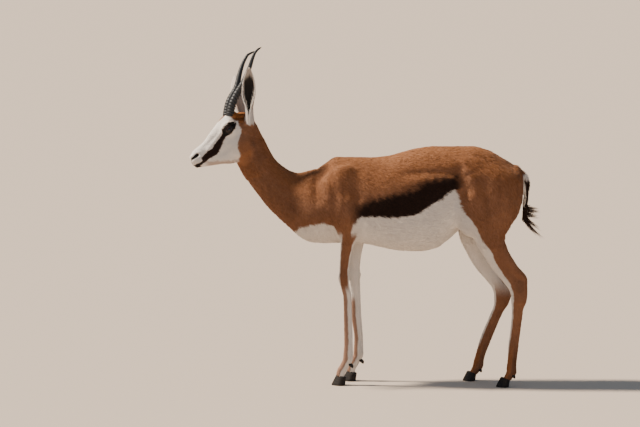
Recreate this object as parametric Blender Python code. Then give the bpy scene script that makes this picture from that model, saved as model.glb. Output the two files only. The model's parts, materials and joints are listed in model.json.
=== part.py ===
"""Springbok antelope, standing, as a life-size still model.

Metres. The animal faces -X, its left side is -Y, Z is up and the floor is z = 0.
The flesh is one rounded form, made from section tables and smoothly joined masses,
then parted into its nodes by thin cuts. Horns, eyes, ears, hooves and tail tuft are
solids of their own, each seated in a socket.
"""

import math

import bmesh
import bpy
import numpy as np
import openvdb
from mathutils import Matrix, Vector

# Driving sizes, metres
VOXEL = 0.005
FLESH_TRIANGLES = 2700
GAP = 0.0003
SOCKET = 0.0008

HEAD_ORIGIN = (-0.3964, 0.0, 0.8624)
HEAD_PITCH = 30.0
HEAD_TURN = 22.0
NECK_LEAN = 38.0
HORN_BASE_RADIUS = 0.0125
EAR_WALL = 0.005
EYE_RADIUS = 0.0155
TAIL_CUT = 0.5285
FRONT_STANCE = 0.048
HIND_STANCE = 0.065
FAR = 0.06


# ---------------------------------------------------------------- curves and fields


def slopes(x, y):
    step = np.diff(x)
    d = np.diff(y) / step
    inner = np.zeros(len(x))
    same = d[:-1] * d[1:] > 0
    inner[1:-1][same] = 2 * d[:-1][same] * d[1:][same] / (d[:-1] + d[1:])[same]
    inner[0] = d[0]
    inner[-1] = d[-1]
    return inner


def curve(knots, at):
    """Smooth curve through (place, value) knots, level beyond its ends."""
    x = np.array([k[0] for k in knots], float)
    y = np.array([k[1] for k in knots], float)
    m = slopes(x, y)
    at = np.clip(at, x[0], x[-1])
    i = np.clip(np.searchsorted(x, at) - 1, 0, len(x) - 2)
    h = x[i + 1] - x[i]
    t = (at - x[i]) / h
    rise = (1 + 2 * t) * (1 - t) ** 2 * y[i] + t * t * (3 - 2 * t) * y[i + 1]
    return rise + t * (1 - t) ** 2 * h * m[i] - t * t * (1 - t) * h * m[i + 1]


def shaped(length, r):
    return length - length / np.maximum(r, 1e-6)


def loft(sizes):
    """A form along its first axis: tables of top, bottom, half-width and widest height."""

    def field(q):
        a, b, c = q[:, 0], q[:, 1], q[:, 2]
        a0, a1 = sizes["span"]
        inside = np.clip(a, a0, a1)
        top = curve(sizes["top"], inside)
        bottom = curve(sizes["bottom"], inside)
        wide = curve(sizes["wide"], inside)
        mid = bottom + curve(sizes["widest"], inside) * (top - bottom)
        up = b - mid
        tall = np.where(up > 0, top - mid, mid - bottom)
        over = np.where(a > a1, (a - a1) / sizes["caps"][1], (a0 - a) / sizes["caps"][0])
        over = np.maximum(over, 0)
        n = np.where(up > 0, sizes["power"][0], sizes["power"][1])
        ring = (np.abs(c) / wide) ** n + (np.abs(up) / tall) ** n
        r = np.sqrt(ring ** (2 / n) + over**2)
        length = np.sqrt(c * c + up * up + (a - inside) ** 2)
        return shaped(length, r)

    return field


def stations_line(stations, step=0.006):
    rows = np.array(stations, float)
    run = np.linalg.norm(np.diff(rows[:, :3], axis=0), axis=1)
    run = np.concatenate([[0], np.cumsum(run)])
    at = np.linspace(0, run[-1], int(run[-1] / step) + 3)
    return np.stack([curve(list(zip(run, rows[:, k])), at) for k in range(5)], axis=1)


def tube(stations):
    """A limb through (x, y, z, half depth, half width) stations, with rounded ends."""
    line = stations_line(stations)
    centre = line[:, :3]
    along = np.gradient(centre, axis=0)
    along /= np.linalg.norm(along, axis=1)[:, None]
    across = np.array([0.0, 1.0, 0.0]) - along * along[:, 1:2]
    across /= np.linalg.norm(across, axis=1)[:, None]
    front = np.cross(across, along)

    def field(q):
        best = np.full(len(q), 1e9)
        index = np.zeros(len(q), int)
        for i, c in enumerate(centre):
            d = ((q - c) ** 2).sum(1)
            nearer = d < best
            best[nearer] = d[nearer]
            index[nearer] = i
        off = q - centre[index]
        s = (off * along[index]).sum(1)
        u = (off * front[index]).sum(1)
        v = (off * across[index]).sum(1)
        last = len(centre) - 1
        outside = ((index == 0) & (s < 0)) | ((index == last) & (s > 0))
        s = np.where(outside, s, 0)
        a = line[index, 3]
        b = line[index, 4]
        r = np.sqrt((u / a) ** 2 + (v / b) ** 2 + (s / np.minimum(a, b)) ** 2)
        return shaped(np.sqrt(u * u + v * v + s * s), r)

    return field


def blob(centre, radii, turn=0.0, yaw=0.0):
    """An ellipsoid, turned about the side axis and then about the upright one."""
    c, s = math.cos(math.radians(turn)), math.sin(math.radians(turn))
    cy, sy = math.cos(math.radians(yaw)), math.sin(math.radians(yaw))
    spin = np.array([[c, 0, s], [0, 1, 0], [-s, 0, c]])
    spin = np.array([[cy, -sy, 0], [sy, cy, 0], [0, 0, 1]]) @ spin

    def field(q):
        local = (q - np.array(centre)) @ spin
        r = np.sqrt(((local / np.array(radii)) ** 2).sum(1))
        return shaped(np.linalg.norm(local, axis=1), r)

    return field


def rotation_about(axis, degrees):
    return np.array(Matrix.Rotation(math.radians(degrees), 3, Vector(axis)))


def head_frame():
    """Rows are the head's forward, up and left directions, after its turn on the neck."""
    pitch, lean = math.radians(HEAD_PITCH), math.radians(NECK_LEAN)
    forward = (-math.cos(pitch), 0, -math.sin(pitch))
    upward = (-math.sin(pitch), 0, math.cos(pitch))
    turn = rotation_about((-math.sin(lean), 0, math.cos(lean)), HEAD_TURN)
    return np.array([turn @ forward, turn @ upward, turn @ (0, -1, 0)])


HEAD = head_frame()


def to_head(q):
    return (q - np.array(HEAD_ORIGIN)) @ HEAD.T


def from_head(h, u, s):
    return np.array(HEAD_ORIGIN) + np.array([h, u, s]) @ HEAD


def in_head(field):
    return lambda q: field(to_head(q))


# ---------------------------------------------------------------- the body's masses

TRUNK = {
    "span": (-0.165, 0.49),
    "caps": (0.075, 0.040),
    "power": (2.0, 2.1),
    "top": [
        (-0.17, 0.712), (-0.137, 0.742), (-0.095, 0.7665), (-0.04, 0.766), (0.02, 0.7655),
        (0.07, 0.770), (0.12, 0.783), (0.17, 0.796), (0.23, 0.8035), (0.35, 0.8035),
        (0.404, 0.792), (0.454, 0.766), (0.49, 0.744),
    ],
    "bottom": [
        (-0.17, 0.486), (-0.12, 0.478), (-0.02, 0.475), (0.05, 0.462), (0.12, 0.451),
        (0.18, 0.449), (0.23, 0.458), (0.27, 0.482), (0.32, 0.527), (0.36, 0.565),
        (0.49, 0.605),
    ],
    "wide": [
        (-0.17, 0.078), (-0.10, 0.091), (0.0, 0.103), (0.10, 0.115), (0.18, 0.118),
        (0.26, 0.115), (0.36, 0.104), (0.43, 0.090), (0.49, 0.064),
    ],
    "widest": [(-0.17, 0.42), (0.05, 0.45), (0.20, 0.50), (0.36, 0.52)],
}

NECK = [
    (-0.428, 0.0, 0.872, 0.040, 0.030),
    (-0.407, 0.0, 0.838, 0.052, 0.034),
    (-0.385, 0.0, 0.785, 0.060, 0.036),
    (-0.353, 0.0, 0.727, 0.060, 0.038),
    (-0.314, 0.0, 0.682, 0.066, 0.044),
    (-0.262, 0.0, 0.640, 0.082, 0.056),
    (-0.200, 0.0, 0.612, 0.100, 0.072),
    (-0.130, 0.0, 0.600, 0.105, 0.080),
]

SKULL = {
    "span": (0.012, 0.217),
    "caps": (0.040, 0.009),
    "power": (2.1, 1.9),
    "top": [
        (0.0, 0.047), (0.019, 0.0565), (0.0525, 0.0735), (0.076, 0.0665), (0.097, 0.0575),
        (0.122, 0.0475), (0.161, 0.0315), (0.201, 0.0250), (0.217, 0.0165),
    ],
    "bottom": [
        (0.0, -0.030), (0.03, -0.060), (0.06, -0.081), (0.095, -0.0815), (0.140, -0.0625),
        (0.180, -0.0470), (0.217, -0.0325),
    ],
    "wide": [
        (0.0, 0.034), (0.03, 0.040), (0.06, 0.041), (0.09, 0.035), (0.122, 0.0275),
        (0.152, 0.0225), (0.182, 0.0205), (0.217, 0.0180),
    ],
    "widest": [(0.0, 0.65), (0.06, 0.70), (0.10, 0.62), (0.15, 0.52), (0.21, 0.50)],
}

FRONT_LEG = [
    (-0.050, -0.072, 0.580, 0.050, 0.030),
    (-0.050, -0.067, 0.530, 0.036, 0.025),
    (-0.058, -0.060, 0.480, 0.024, 0.019),
    (-0.066, -0.054, 0.425, 0.0178, 0.0150),
    (-0.0695, -0.051, 0.385, 0.0160, 0.0140),
    (-0.0700, -0.050, 0.360, 0.0172, 0.0158),
    (-0.0670, -0.049, 0.335, 0.0150, 0.0138),
    (-0.0620, -0.048, 0.300, 0.0126, 0.0104),
    (-0.0585, -0.048, 0.220, 0.0128, 0.0096),
    (-0.0560, -0.048, 0.140, 0.0136, 0.0098),
    (-0.0560, -0.048, 0.094, 0.0168, 0.0132),
    (-0.0660, -0.048, 0.066, 0.0138, 0.0130),
    (-0.0760, -0.048, 0.046, 0.0140, 0.0150),
    (-0.0860, -0.048, 0.022, 0.0150, 0.0160),
]
RIGHT_FRONT_STEP = 0.033

HIND_LEG = [
    (0.425, -0.055, 0.690, 0.080, 0.046),
    (0.425, -0.066, 0.620, 0.096, 0.050),
    (0.420, -0.074, 0.565, 0.086, 0.045),
    (0.425, -0.077, 0.505, 0.060, 0.036),
    (0.438, -0.074, 0.450, 0.041, 0.026),
    (0.455, -0.071, 0.410, 0.031, 0.0195),
    (0.478, -0.069, 0.372, 0.0235, 0.0160),
    (0.500, -0.067, 0.336, 0.0205, 0.0158),
    (0.511, -0.066, 0.303, 0.0222, 0.0155),
    (0.512, -0.066, 0.265, 0.0185, 0.0128),
    (0.508, -0.065, 0.200, 0.0145, 0.0102),
    (0.501, -0.065, 0.125, 0.0136, 0.0104),
    (0.495, -0.065, 0.082, 0.0146, 0.0118),
    (0.489, -0.065, 0.054, 0.0172, 0.0142),
    (0.478, -0.065, 0.036, 0.0140, 0.0145),
    (0.468, -0.065, 0.018, 0.0140, 0.0150),
]
HIND_TENDON = [
    (0.466, -0.074, 0.462, 0.012, 0.010),
    (0.503, -0.071, 0.405, 0.0078, 0.0070),
    (0.5335, -0.067, 0.358, 0.0088, 0.0085),
    (0.5325, -0.066, 0.332, 0.0105, 0.0105),
    (0.524, -0.066, 0.295, 0.0100, 0.0105),
]

RIGHT_HIND_LEG = [
    (0.425, 0.055, 0.690, 0.080, 0.046),
    (0.412, 0.066, 0.620, 0.096, 0.050),
    (0.392, 0.074, 0.560, 0.086, 0.045),
    (0.372, 0.077, 0.495, 0.060, 0.036),
    (0.381, 0.074, 0.440, 0.041, 0.026),
    (0.397, 0.071, 0.398, 0.031, 0.0195),
    (0.421, 0.069, 0.360, 0.0240, 0.0165),
    (0.445, 0.067, 0.322, 0.0208, 0.0160),
    (0.4545, 0.066, 0.290, 0.0225, 0.0157),
    (0.4520, 0.066, 0.262, 0.0195, 0.0132),
    (0.4350, 0.065, 0.210, 0.0158, 0.0106),
    (0.4080, 0.065, 0.135, 0.0146, 0.0106),
    (0.3900, 0.065, 0.085, 0.0150, 0.0120),
    (0.3780, 0.065, 0.056, 0.0172, 0.0142),
    (0.3660, 0.065, 0.037, 0.0142, 0.0145),
    (0.3540, 0.065, 0.018, 0.0140, 0.0150),
]
RIGHT_TENDON = [
    (0.409, 0.074, 0.452, 0.012, 0.010),
    (0.450, 0.071, 0.388, 0.0078, 0.0070),
    (0.484, 0.067, 0.334, 0.0088, 0.0085),
    (0.481, 0.066, 0.308, 0.0105, 0.0105),
    (0.467, 0.066, 0.272, 0.0100, 0.0105),
]

TAIL = [
    (0.500, 0.0, 0.712, 0.022, 0.020),
    (0.528, 0.0, 0.697, 0.0150, 0.0150),
    (0.5375, 0.0, 0.672, 0.0115, 0.0120),
    (0.5375, 0.0, 0.640, 0.0080, 0.0085),
    (0.534, 0.0, 0.600, 0.0070, 0.0070),
    (0.531, 0.0, 0.560, 0.0068, 0.0068),
]
TUFT = [
    (0.5300, 0.0, 0.598, 0.0095, 0.0085),
    (0.5325, 0.0, 0.570, 0.0165, 0.0120),
    (0.5400, 0.0, 0.540, 0.0195, 0.0130),
    (0.5560, 0.0, 0.514, 0.0190, 0.0120),
    (0.5740, 0.0, 0.496, 0.0120, 0.0085),
    (0.5890, 0.0, 0.480, 0.0040, 0.0035),
]


def mirrored(rows, step=0.0):
    return [(x + step, -y, *rest) for x, y, *rest in rows]


def box_round(points, pad):
    points = np.array(points)
    return points.min(0) - pad, points.max(0) + pad


def masses():
    """Each is (field, low corner, high corner, blend), joined in this order."""
    made = []

    def add(field, low, high, blend):
        made.append((field, np.array(low), np.array(high), blend))

    def add_tube(rows, blend):
        reach = max(max(row[3:]) for row in rows) + 0.05
        add(tube(rows), *box_round([row[:3] for row in rows], reach), blend)

    def add_blob(centre, radii, turn, yaw, blend):
        reach = max(radii) + 0.05
        add(blob(centre, radii, turn, yaw), *box_round([centre], reach), blend)

    trunk = loft(TRUNK)
    add(lambda q: trunk(q[:, [0, 2, 1]]), (-0.30, -0.18, 0.38), (0.60, 0.18, 0.86), 0.0)
    add_tube(NECK, 0.045)
    for side in (-1, 1):
        near = side < 0
        add_blob((-0.090, side * 0.060, 0.655), (0.050, 0.028, 0.092), 24, 0, 0.032)
        add_blob((-0.060, side * 0.072, 0.590), (0.062, 0.030, 0.062), 10, 0, 0.030)
        add_blob((-0.150, side * 0.052, 0.585), (0.058, 0.034, 0.050), -35, 0, 0.035)
        add_blob((0.455, side * 0.052, 0.640), (0.062, 0.048, 0.085), 12, 0, 0.030)
        add_blob((0.360, side * 0.080, 0.590), (0.050, 0.030, 0.080), 18, 0, 0.040)
        add_tube(FRONT_LEG if near else mirrored(FRONT_LEG, RIGHT_FRONT_STEP), 0.024)
        add_tube(HIND_LEG if near else RIGHT_HIND_LEG, 0.030)
        add_tube(HIND_TENDON if near else RIGHT_TENDON, 0.034)
    add_blob((-0.175, 0.0, 0.545), (0.055, 0.050, 0.050), 20, 0, 0.040)
    add_tube(TAIL, 0.012)

    head_box = box_round([from_head(0.1, 0.0, 0.0)], 0.2)
    add(in_head(loft(SKULL)), *head_box, 0.030)
    for side in (-1, 1):
        for centre, radii, turn, blend in (
            ((0.062, 0.036, 0.029), (0.030, 0.018, 0.024), 0, 0.016),
            ((0.054, 0.024, -0.036), (0.042, 0.016, 0.040), 20, 0.020),
            ((0.034, 0.024, 0.056), (0.022, 0.015, 0.016), 0, 0.012),
            ((0.208, 0.011, -0.004), (0.016, 0.0105, 0.0150), 0, 0.010),
        ):
            h, s, u = centre
            a, c, b = radii
            place = blob((h, u, side * s), (a, b, c))
            low, high = box_round([from_head(h, u, side * s)], max(radii) + 0.03)
            add(in_head(place), low, high, blend)
    return made


def field_at(points, forms):
    value = np.full(len(points), FAR)
    for field, low, high, blend in forms:
        near = np.all((points > low) & (points < high), axis=1)
        if not near.any():
            continue
        d = field(points[near])
        old = value[near]
        if blend:
            h = np.maximum(blend - np.abs(old - d), 0) / blend
            value[near] = np.minimum(old, d) - h * h * blend / 4
        else:
            value[near] = np.minimum(old, d)
    return value


def grid_mesh(forms, low, high, voxel):
    """The zero surface of the joined forms, found on a grid that is fine only near it."""
    low, high = np.array(low), np.array(high)
    coarse = 3
    shape = np.ceil((high - low) / (voxel * coarse)).astype(int)
    axes = [low[k] + voxel * coarse * (np.arange(shape[k]) + 1 / 3) for k in range(3)]
    rough = np.stack(np.meshgrid(*axes, indexing="ij"), -1).reshape(-1, 3)
    value = field_at(rough, forms).reshape(shape)
    fine = np.repeat(np.repeat(np.repeat(value, 3, 0), 3, 1), 3, 2)
    band = np.argwhere(np.abs(fine) < 0.022)
    fine[tuple(band.T)] = field_at(low + voxel * band, forms)
    grid = openvdb.FloatGrid(FAR)
    grid.copyFromArray(np.clip(fine, -FAR, FAR).astype(np.float32))
    points, _, quads = grid.convertToPolygons(isovalue=0.0, adaptivity=0.0)
    return points * voxel + low, quads


# ---------------------------------------------------------------- Blender helpers


def clear_scene():
    for obj in list(bpy.data.objects):
        bpy.data.objects.remove(obj, do_unlink=True)


def collection(name, hidden=False):
    made = bpy.data.collections.new(name)
    bpy.context.scene.collection.children.link(made)
    made.hide_render = hidden
    return made


def material(name, colour, rough):
    made = bpy.data.materials.new(name)
    made.use_nodes = True
    shader = made.node_tree.nodes["Principled BSDF"]
    shader.inputs["Base Color"].default_value = (*colour, 1)
    shader.inputs["Roughness"].default_value = rough
    return made


def mesh_object(name, points, faces, group, look):
    mesh = bpy.data.meshes.new(name)
    mesh.from_pydata([tuple(map(float, p)) for p in points], [], [tuple(map(int, f)) for f in faces])
    mesh.materials.append(look)
    obj = bpy.data.objects.new(name, mesh)
    group.objects.link(obj)
    bm = bmesh.new()
    bm.from_mesh(mesh)
    bmesh.ops.remove_doubles(bm, verts=bm.verts, dist=1e-6)
    bmesh.ops.recalc_face_normals(bm, faces=bm.faces)
    if bm.calc_volume(signed=True) < 0:
        bmesh.ops.reverse_faces(bm, faces=bm.faces)
    bm.to_mesh(mesh)
    bm.free()
    return obj


def evaluated(obj):
    """The object's mesh with its modifiers made real."""
    graph = bpy.context.evaluated_depsgraph_get()
    mesh = bpy.data.meshes.new_from_object(obj.evaluated_get(graph))
    obj.modifiers.clear()
    old = obj.data
    obj.data = mesh
    bpy.data.meshes.remove(old)
    return obj


def grown_copy(obj, by, group):
    """A cutter: the object's mesh moved out along its normals."""
    cutter = obj.copy()
    cutter.data = obj.data.copy()
    cutter.name = obj.name + "_cutter"
    group.objects.link(cutter)
    normals = [v.normal.copy() for v in cutter.data.vertices]
    for vertex, normal in zip(cutter.data.vertices, normals):
        vertex.co += normal * by
    cutter.hide_render = True
    cutter.display_type = "WIRE"
    return cutter


def cut(obj, cutter, operation="DIFFERENCE"):
    boolean = obj.modifiers.new("cut", "BOOLEAN")
    boolean.operation = operation
    boolean.solver = "EXACT"
    boolean.object = cutter
    return evaluated(obj)


def slab(name, centre, normal, size, group, look):
    """A thin square plate that parts the flesh where it passes through."""
    bpy.ops.mesh.primitive_cube_add(size=1)
    plate = bpy.context.active_object
    plate.name = name
    for owner in list(plate.users_collection):
        owner.objects.unlink(plate)
    group.objects.link(plate)
    plate.scale = (size[0], size[1], GAP)
    plate.rotation_mode = "QUATERNION"
    plate.rotation_quaternion = Vector((0, 0, 1)).rotation_difference(Vector(normal))
    plate.location = centre
    plate.hide_render = True
    plate.display_type = "WIRE"
    plate.data.materials.append(look)
    return plate


def plate_box(name, low, high):
    """A cutter box between two corners."""
    low, high = np.array(low), np.array(high)
    bpy.ops.mesh.primitive_cube_add(size=1, location=tuple((low + high) / 2))
    plate = bpy.context.active_object
    plate.name = name
    for owner in list(plate.users_collection):
        owner.objects.unlink(plate)
    helpers.objects.link(plate)
    plate.scale = tuple(np.abs(high - low))
    plate.hide_render = True
    plate.display_type = "WIRE"
    plate.data.materials.append(coat)
    return plate


def jaw_plate():
    """The thin cut along the mouth, from in front of the lips to the head's back cut."""
    points = []
    for h in (0.034, 0.250):
        for s in (-0.075, 0.075):
            for up in (-GAP / 2, GAP / 2):
                points.append(from_head(h, -0.0445 + 0.15 * (h - 0.122) + up, s))
    faces = [(0, 1, 3, 2), (4, 6, 7, 5), (0, 4, 5, 1), (2, 3, 7, 6), (0, 2, 6, 4), (1, 5, 7, 3)]
    plate = mesh_object("cut_jaw", points, faces, helpers, coat)
    plate.hide_render = True
    plate.display_type = "WIRE"
    return plate


# ---------------------------------------------------------------- separate solids


def ring_tube(centres, radii, sides, flatten=None):
    """Points and faces of a closed tube through the centres, capped at both ends."""
    centres = [Vector(c) for c in centres]
    points, faces = [], []
    count = len(centres)
    for i, c in enumerate(centres):
        along = (centres[min(i + 1, count - 1)] - centres[max(i - 1, 0)]).normalized()
        across = along.cross(Vector((0.3, 1, 0.1))).normalized()
        other = along.cross(across)
        wide, deep = radii[i] if isinstance(radii[i], tuple) else (radii[i], radii[i])
        for k in range(sides):
            angle = 2 * math.pi * k / sides
            points.append(c + across * deep * math.cos(angle) + other * wide * math.sin(angle))
    for i in range(count - 1):
        for k in range(sides):
            a, b = i * sides + k, i * sides + (k + 1) % sides
            faces.append((a, b, b + sides, a + sides))
    faces.append(tuple(reversed(range(sides))))
    faces.append(tuple(range((count - 1) * sides, count * sides)))
    return points, faces


HORN_PATH = [
    (0.040, 0.058, 0.0250), (0.0345, 0.070, 0.0270), (0.005, 0.098, 0.0310),
    (-0.0275, 0.1235, 0.0335), (-0.062, 0.1475, 0.0370), (-0.096, 0.170, 0.0430),
    (-0.128, 0.194, 0.0460), (-0.152, 0.2055, 0.0465), (-0.171, 0.207, 0.0455),
]


def horn(name, side, group, look):
    rows = np.array(HORN_PATH)
    run = np.concatenate([[0], np.cumsum(np.linalg.norm(np.diff(rows, axis=0), axis=1))])
    at = np.linspace(0, run[-1], 18)
    path = np.stack([curve(list(zip(run, rows[:, k])), at) for k in range(3)], axis=1)
    share = at / run[-1]
    taper = curve([(0, 1.0), (0.25, 0.90), (0.6, 0.60), (0.85, 0.33), (1, 0.10)], share)
    ridge = 1 + 0.07 * np.cos(np.arange(18) * math.pi) * (share > 0.06) * (share < 0.55)
    centres = [from_head(h, u, side * s) for h, u, s in path]
    points, faces = ring_tube(centres, list(HORN_BASE_RADIUS * taper * ridge), 8)
    return mesh_object(name, points, faces, group, look)


EAR = {
    "root": (-0.004, 0.004, 0.036),
    "tip": (-0.087, 0.168, 0.082),
    "length": 0.190,
    "wide": [
        (0, 0.0105), (0.23, 0.0130), (0.34, 0.0155), (0.51, 0.0205), (0.66, 0.0205),
        (0.80, 0.0165), (0.91, 0.0085), (1, 0.0012),
    ],
    "wrap": [(0, 150), (0.18, 128), (0.40, 96), (0.7, 80), (1, 60)],
    "opens": (0.45, 0.0, 0.90),
}


def ear(name, side, group, look):
    """A leaf-shaped cup: each cross-section is an arc that opens outwards and forwards."""
    root = np.array(EAR["root"]) * (1, 1, side)
    tip = np.array(EAR["tip"]) * (1, 1, side)
    axis = (tip - root) / np.linalg.norm(tip - root)
    opens = np.array(EAR["opens"]) * (1, 1, side)
    opens -= axis * opens.dot(axis)
    opens /= np.linalg.norm(opens)
    edge = np.cross(axis, opens)
    rows, arcs = 11, 7
    outer, inner = [], []
    for i in range(rows):
        t = i / (rows - 1)
        half = float(curve(EAR["wide"], t))
        wrap = math.radians(float(curve(EAR["wrap"], t)))
        radius = half / min(1.0, math.sin(min(wrap, math.pi / 2)))
        back = 0.005 * math.sin(math.pi * min(t * 1.1, 1.0))
        middle = root + axis * EAR["length"] * t - opens * back
        wall = min(EAR_WALL, max(0.0016, half * 0.42))
        for k in range(arcs):
            angle = wrap * (2 * k / (arcs - 1) - 1)
            out = -opens * math.cos(angle) + edge * math.sin(angle)
            outer.append(middle + out * radius)
            inner.append(middle + out * (radius - wall))
    n = rows * arcs
    faces = []
    for i in range(rows - 1):
        for k in range(arcs - 1):
            a = i * arcs + k
            faces.append((a, a + 1, a + 1 + arcs, a + arcs))
            faces.append((n + a, n + a + arcs, n + a + 1 + arcs, n + a + 1))
        for a, b in ((i * arcs, (i + 1) * arcs), (i * arcs + arcs - 1, (i + 1) * arcs + arcs - 1)):
            faces.append((a, b, n + b, n + a))
    for k in range(arcs - 1):
        faces.append((k, k + 1, n + k + 1, n + k))
        top = (rows - 1) * arcs + k
        faces.append((top, n + top, n + top + 1, top + 1))
    points = [from_head(*p) for p in outer + inner]
    return mesh_object(name, points, faces, group, look)


def eye(name, side, group, look):
    bpy.ops.mesh.primitive_uv_sphere_add(segments=12, ring_count=8, radius=EYE_RADIUS)
    ball = bpy.context.active_object
    ball.name = name
    ball.data.name = name
    for owner in list(ball.users_collection):
        owner.objects.unlink(ball)
    group.objects.link(ball)
    centre = from_head(0.0690, 0.0250, side * 0.0385)
    ball.data.transform(Matrix.Translation(Vector(centre)))
    ball.data.materials.append(look)
    return ball


HOOF = {
    "length": 0.042,
    "half_wide": 0.0105,
    "cleft": 0.0016,
    "rows": [
        # height share, toe, heel, half width share
        (0.0, 0.0, 1.0, 1.0), (0.10, 0.02, 0.99, 1.0), (0.40, 0.20, 1.0, 0.94),
        (0.75, 0.44, 1.02, 0.86), (1.0, 0.58, 1.06, 0.78),
    ],
}


def hoof(name, toe_x, heel_x, y, height, claw, group, look):
    """One claw: flat sole, upright inner wall, rounded outer wall, sloping toe."""
    length = heel_x - toe_x
    wide = HOOF["half_wide"] * 2
    points = []
    sides = 10
    for share, toe, heel, spread in HOOF["rows"]:
        z = height * share
        for k in range(sides):
            angle = 2 * math.pi * k / sides
            along = 0.5 - 0.5 * math.cos(angle)
            out = max(0.0, math.sin(angle)) if k else 0.0
            # narrow at the toe, full at two thirds, rounded at the heel
            shape = along**0.65 * (1 - 0.35 * along**4)
            lean = 0.05 * math.sin(angle) if math.sin(angle) < 0 else 0
            x = toe_x + length * (toe + (heel - toe) * along)
            off = HOOF["cleft"] + wide * spread * (out * shape * 1.35 + 0.04) + wide * lean
            tilt = 0.30 * (x - toe_x - 0.6 * length) * share
            points.append((x, y + claw * off, z - tilt if share == 1.0 else z))
    faces = []
    for i in range(len(HOOF["rows"]) - 1):
        for k in range(sides):
            a, b = i * sides + k, i * sides + (k + 1) % sides
            faces.append((a, b, b + sides, a + sides))
    faces.append(tuple(reversed(range(sides))))
    faces.append(tuple(range(len(points) - sides, len(points))))
    return mesh_object(name, points, faces, group, look)


def dewclaw(name, place, claw, group, look):
    x, y, z = place
    centres = [
        (x - 0.004, y + claw * 0.0055, z + 0.006),
        (x + 0.004, y + claw * 0.0080, z + 0.002),
        (x + 0.0105, y + claw * 0.0090, z - 0.004),
        (x + 0.0120, y + claw * 0.0088, z - 0.008),
    ]
    points, faces = ring_tube(centres, [0.0048, 0.0062, 0.0046, 0.0020], 6)
    return mesh_object(name, points, faces, group, look)


# ---------------------------------------------------------------- assembly

clear_scene()
model = collection("springbok")
helpers = collection("cutters", hidden=True)
coat = material("coat", (0.36, 0.19, 0.09), 0.8)
pale = material("pale_coat", (0.75, 0.68, 0.60), 0.8)
dark = material("horn", (0.03, 0.025, 0.022), 0.45)
glossy = material("eye", (0.012, 0.008, 0.006), 0.08)
black = material("tail_hair", (0.02, 0.016, 0.014), 0.7)

forms = masses()
points, quads = grid_mesh(forms, (-0.64, -0.21, -0.015), (0.62, 0.21, 0.965), VOXEL)
flesh = mesh_object("flesh", points, quads, model, coat)
thin = flesh.modifiers.new("thin", "DECIMATE")
thin.ratio = FLESH_TRIANGLES / (2 * len(quads))
evaluated(flesh)

horns = [horn("horn_left", 1, model, dark), horn("horn_right", -1, model, dark)]
ears = [ear("ear_left", 1, model, coat), ear("ear_right", -1, model, coat)]
eyes = [eye("eye_left", 1, model, glossy), eye("eye_right", -1, model, glossy)]

FEET = {
    "front_left": (-0.106, -0.065, -FRONT_STANCE, 0.030),
    "front_right": (-0.073, -0.032, FRONT_STANCE, 0.030),
    "hind_left": (0.444, 0.484, -HIND_STANCE, 0.026),
    "hind_right": (0.332, 0.372, HIND_STANCE, 0.026),
}
DEWCLAWS = {
    "front_left": (-0.046, -FRONT_STANCE, 0.066),
    "front_right": (-0.013, FRONT_STANCE, 0.066),
    "hind_left": (0.497, -HIND_STANCE, 0.036),
    "hind_right": (0.385, HIND_STANCE, 0.036),
}
hooves, claws = [], []
for foot, (toe_x, heel_x, y, height) in FEET.items():
    for word, claw in (("outer", np.sign(y)), ("inner", -np.sign(y))):
        hooves.append(hoof(f"hoof_{foot}_{word}", toe_x, heel_x, y, height, claw, model, dark))
        claws.append(dewclaw(f"dewclaw_{foot}_{word}", DEWCLAWS[foot], claw, model, dark))

points, faces = ring_tube([row[:3] for row in TUFT], [(row[4], row[3]) for row in TUFT], 12)
tuft = mesh_object("tail_tuft", points, faces, model, black)

for piece in horns + ears + eyes + hooves + claws + [tuft]:
    cut(flesh, grown_copy(piece, SOCKET, helpers))

# Thin cuts that cross the whole form: name, centre, normal, plate size
CUTS = [
    ("cut_head", tuple(from_head(0.015, -0.0325, 0)), tuple((0.66, 0.753, 0) @ HEAD), (0.2, 0.2)),
    ("cut_neck", (-0.262, 0, 0.640), (-0.66, 0, 0.75), (0.30, 0.24)),
    ("cut_chest", (0.035, 0, 0.62), (1, 0, 0), (0.42, 0.36)),
    ("cut_rump", (0.300, 0, 0.62), (1, 0, 0.12), (0.50, 0.36)),
]
for name, centre, normal, size in CUTS:
    cut(flesh, slab(name, centre, normal, size, helpers, coat))

cut(flesh, jaw_plate())
cut(flesh, plate_box("cut_tail", (TAIL_CUT, -0.045, 0.60), (TAIL_CUT + GAP, 0.045, 0.76)))

# Limb roots: the upper arm and the haunch are let out of the trunk by plates that meet
ROOTS = {
    "arm": {"x": (-0.36, 0.0352), "inner": 0.036, "top": 0.600, "low": 0.42},
    "haunch": {"x": (0.25, 0.58), "inner": 0.0245, "top": 0.680, "low": 0.40},
}
for side in (-1, 1):
    for word, root in ROOTS.items():
        x0, x1 = root["x"]
        inner, top, low = side * root["inner"], root["top"], root["low"]
        half = side * GAP / 2
        upright = plate_box(word, (x0, inner, low), (x1, inner + 2 * half, top + GAP / 2))
        cut(flesh, upright)
        cut(flesh, plate_box(word, (x0, inner + half, top), (x1, side * 0.20, top + GAP)))

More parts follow.
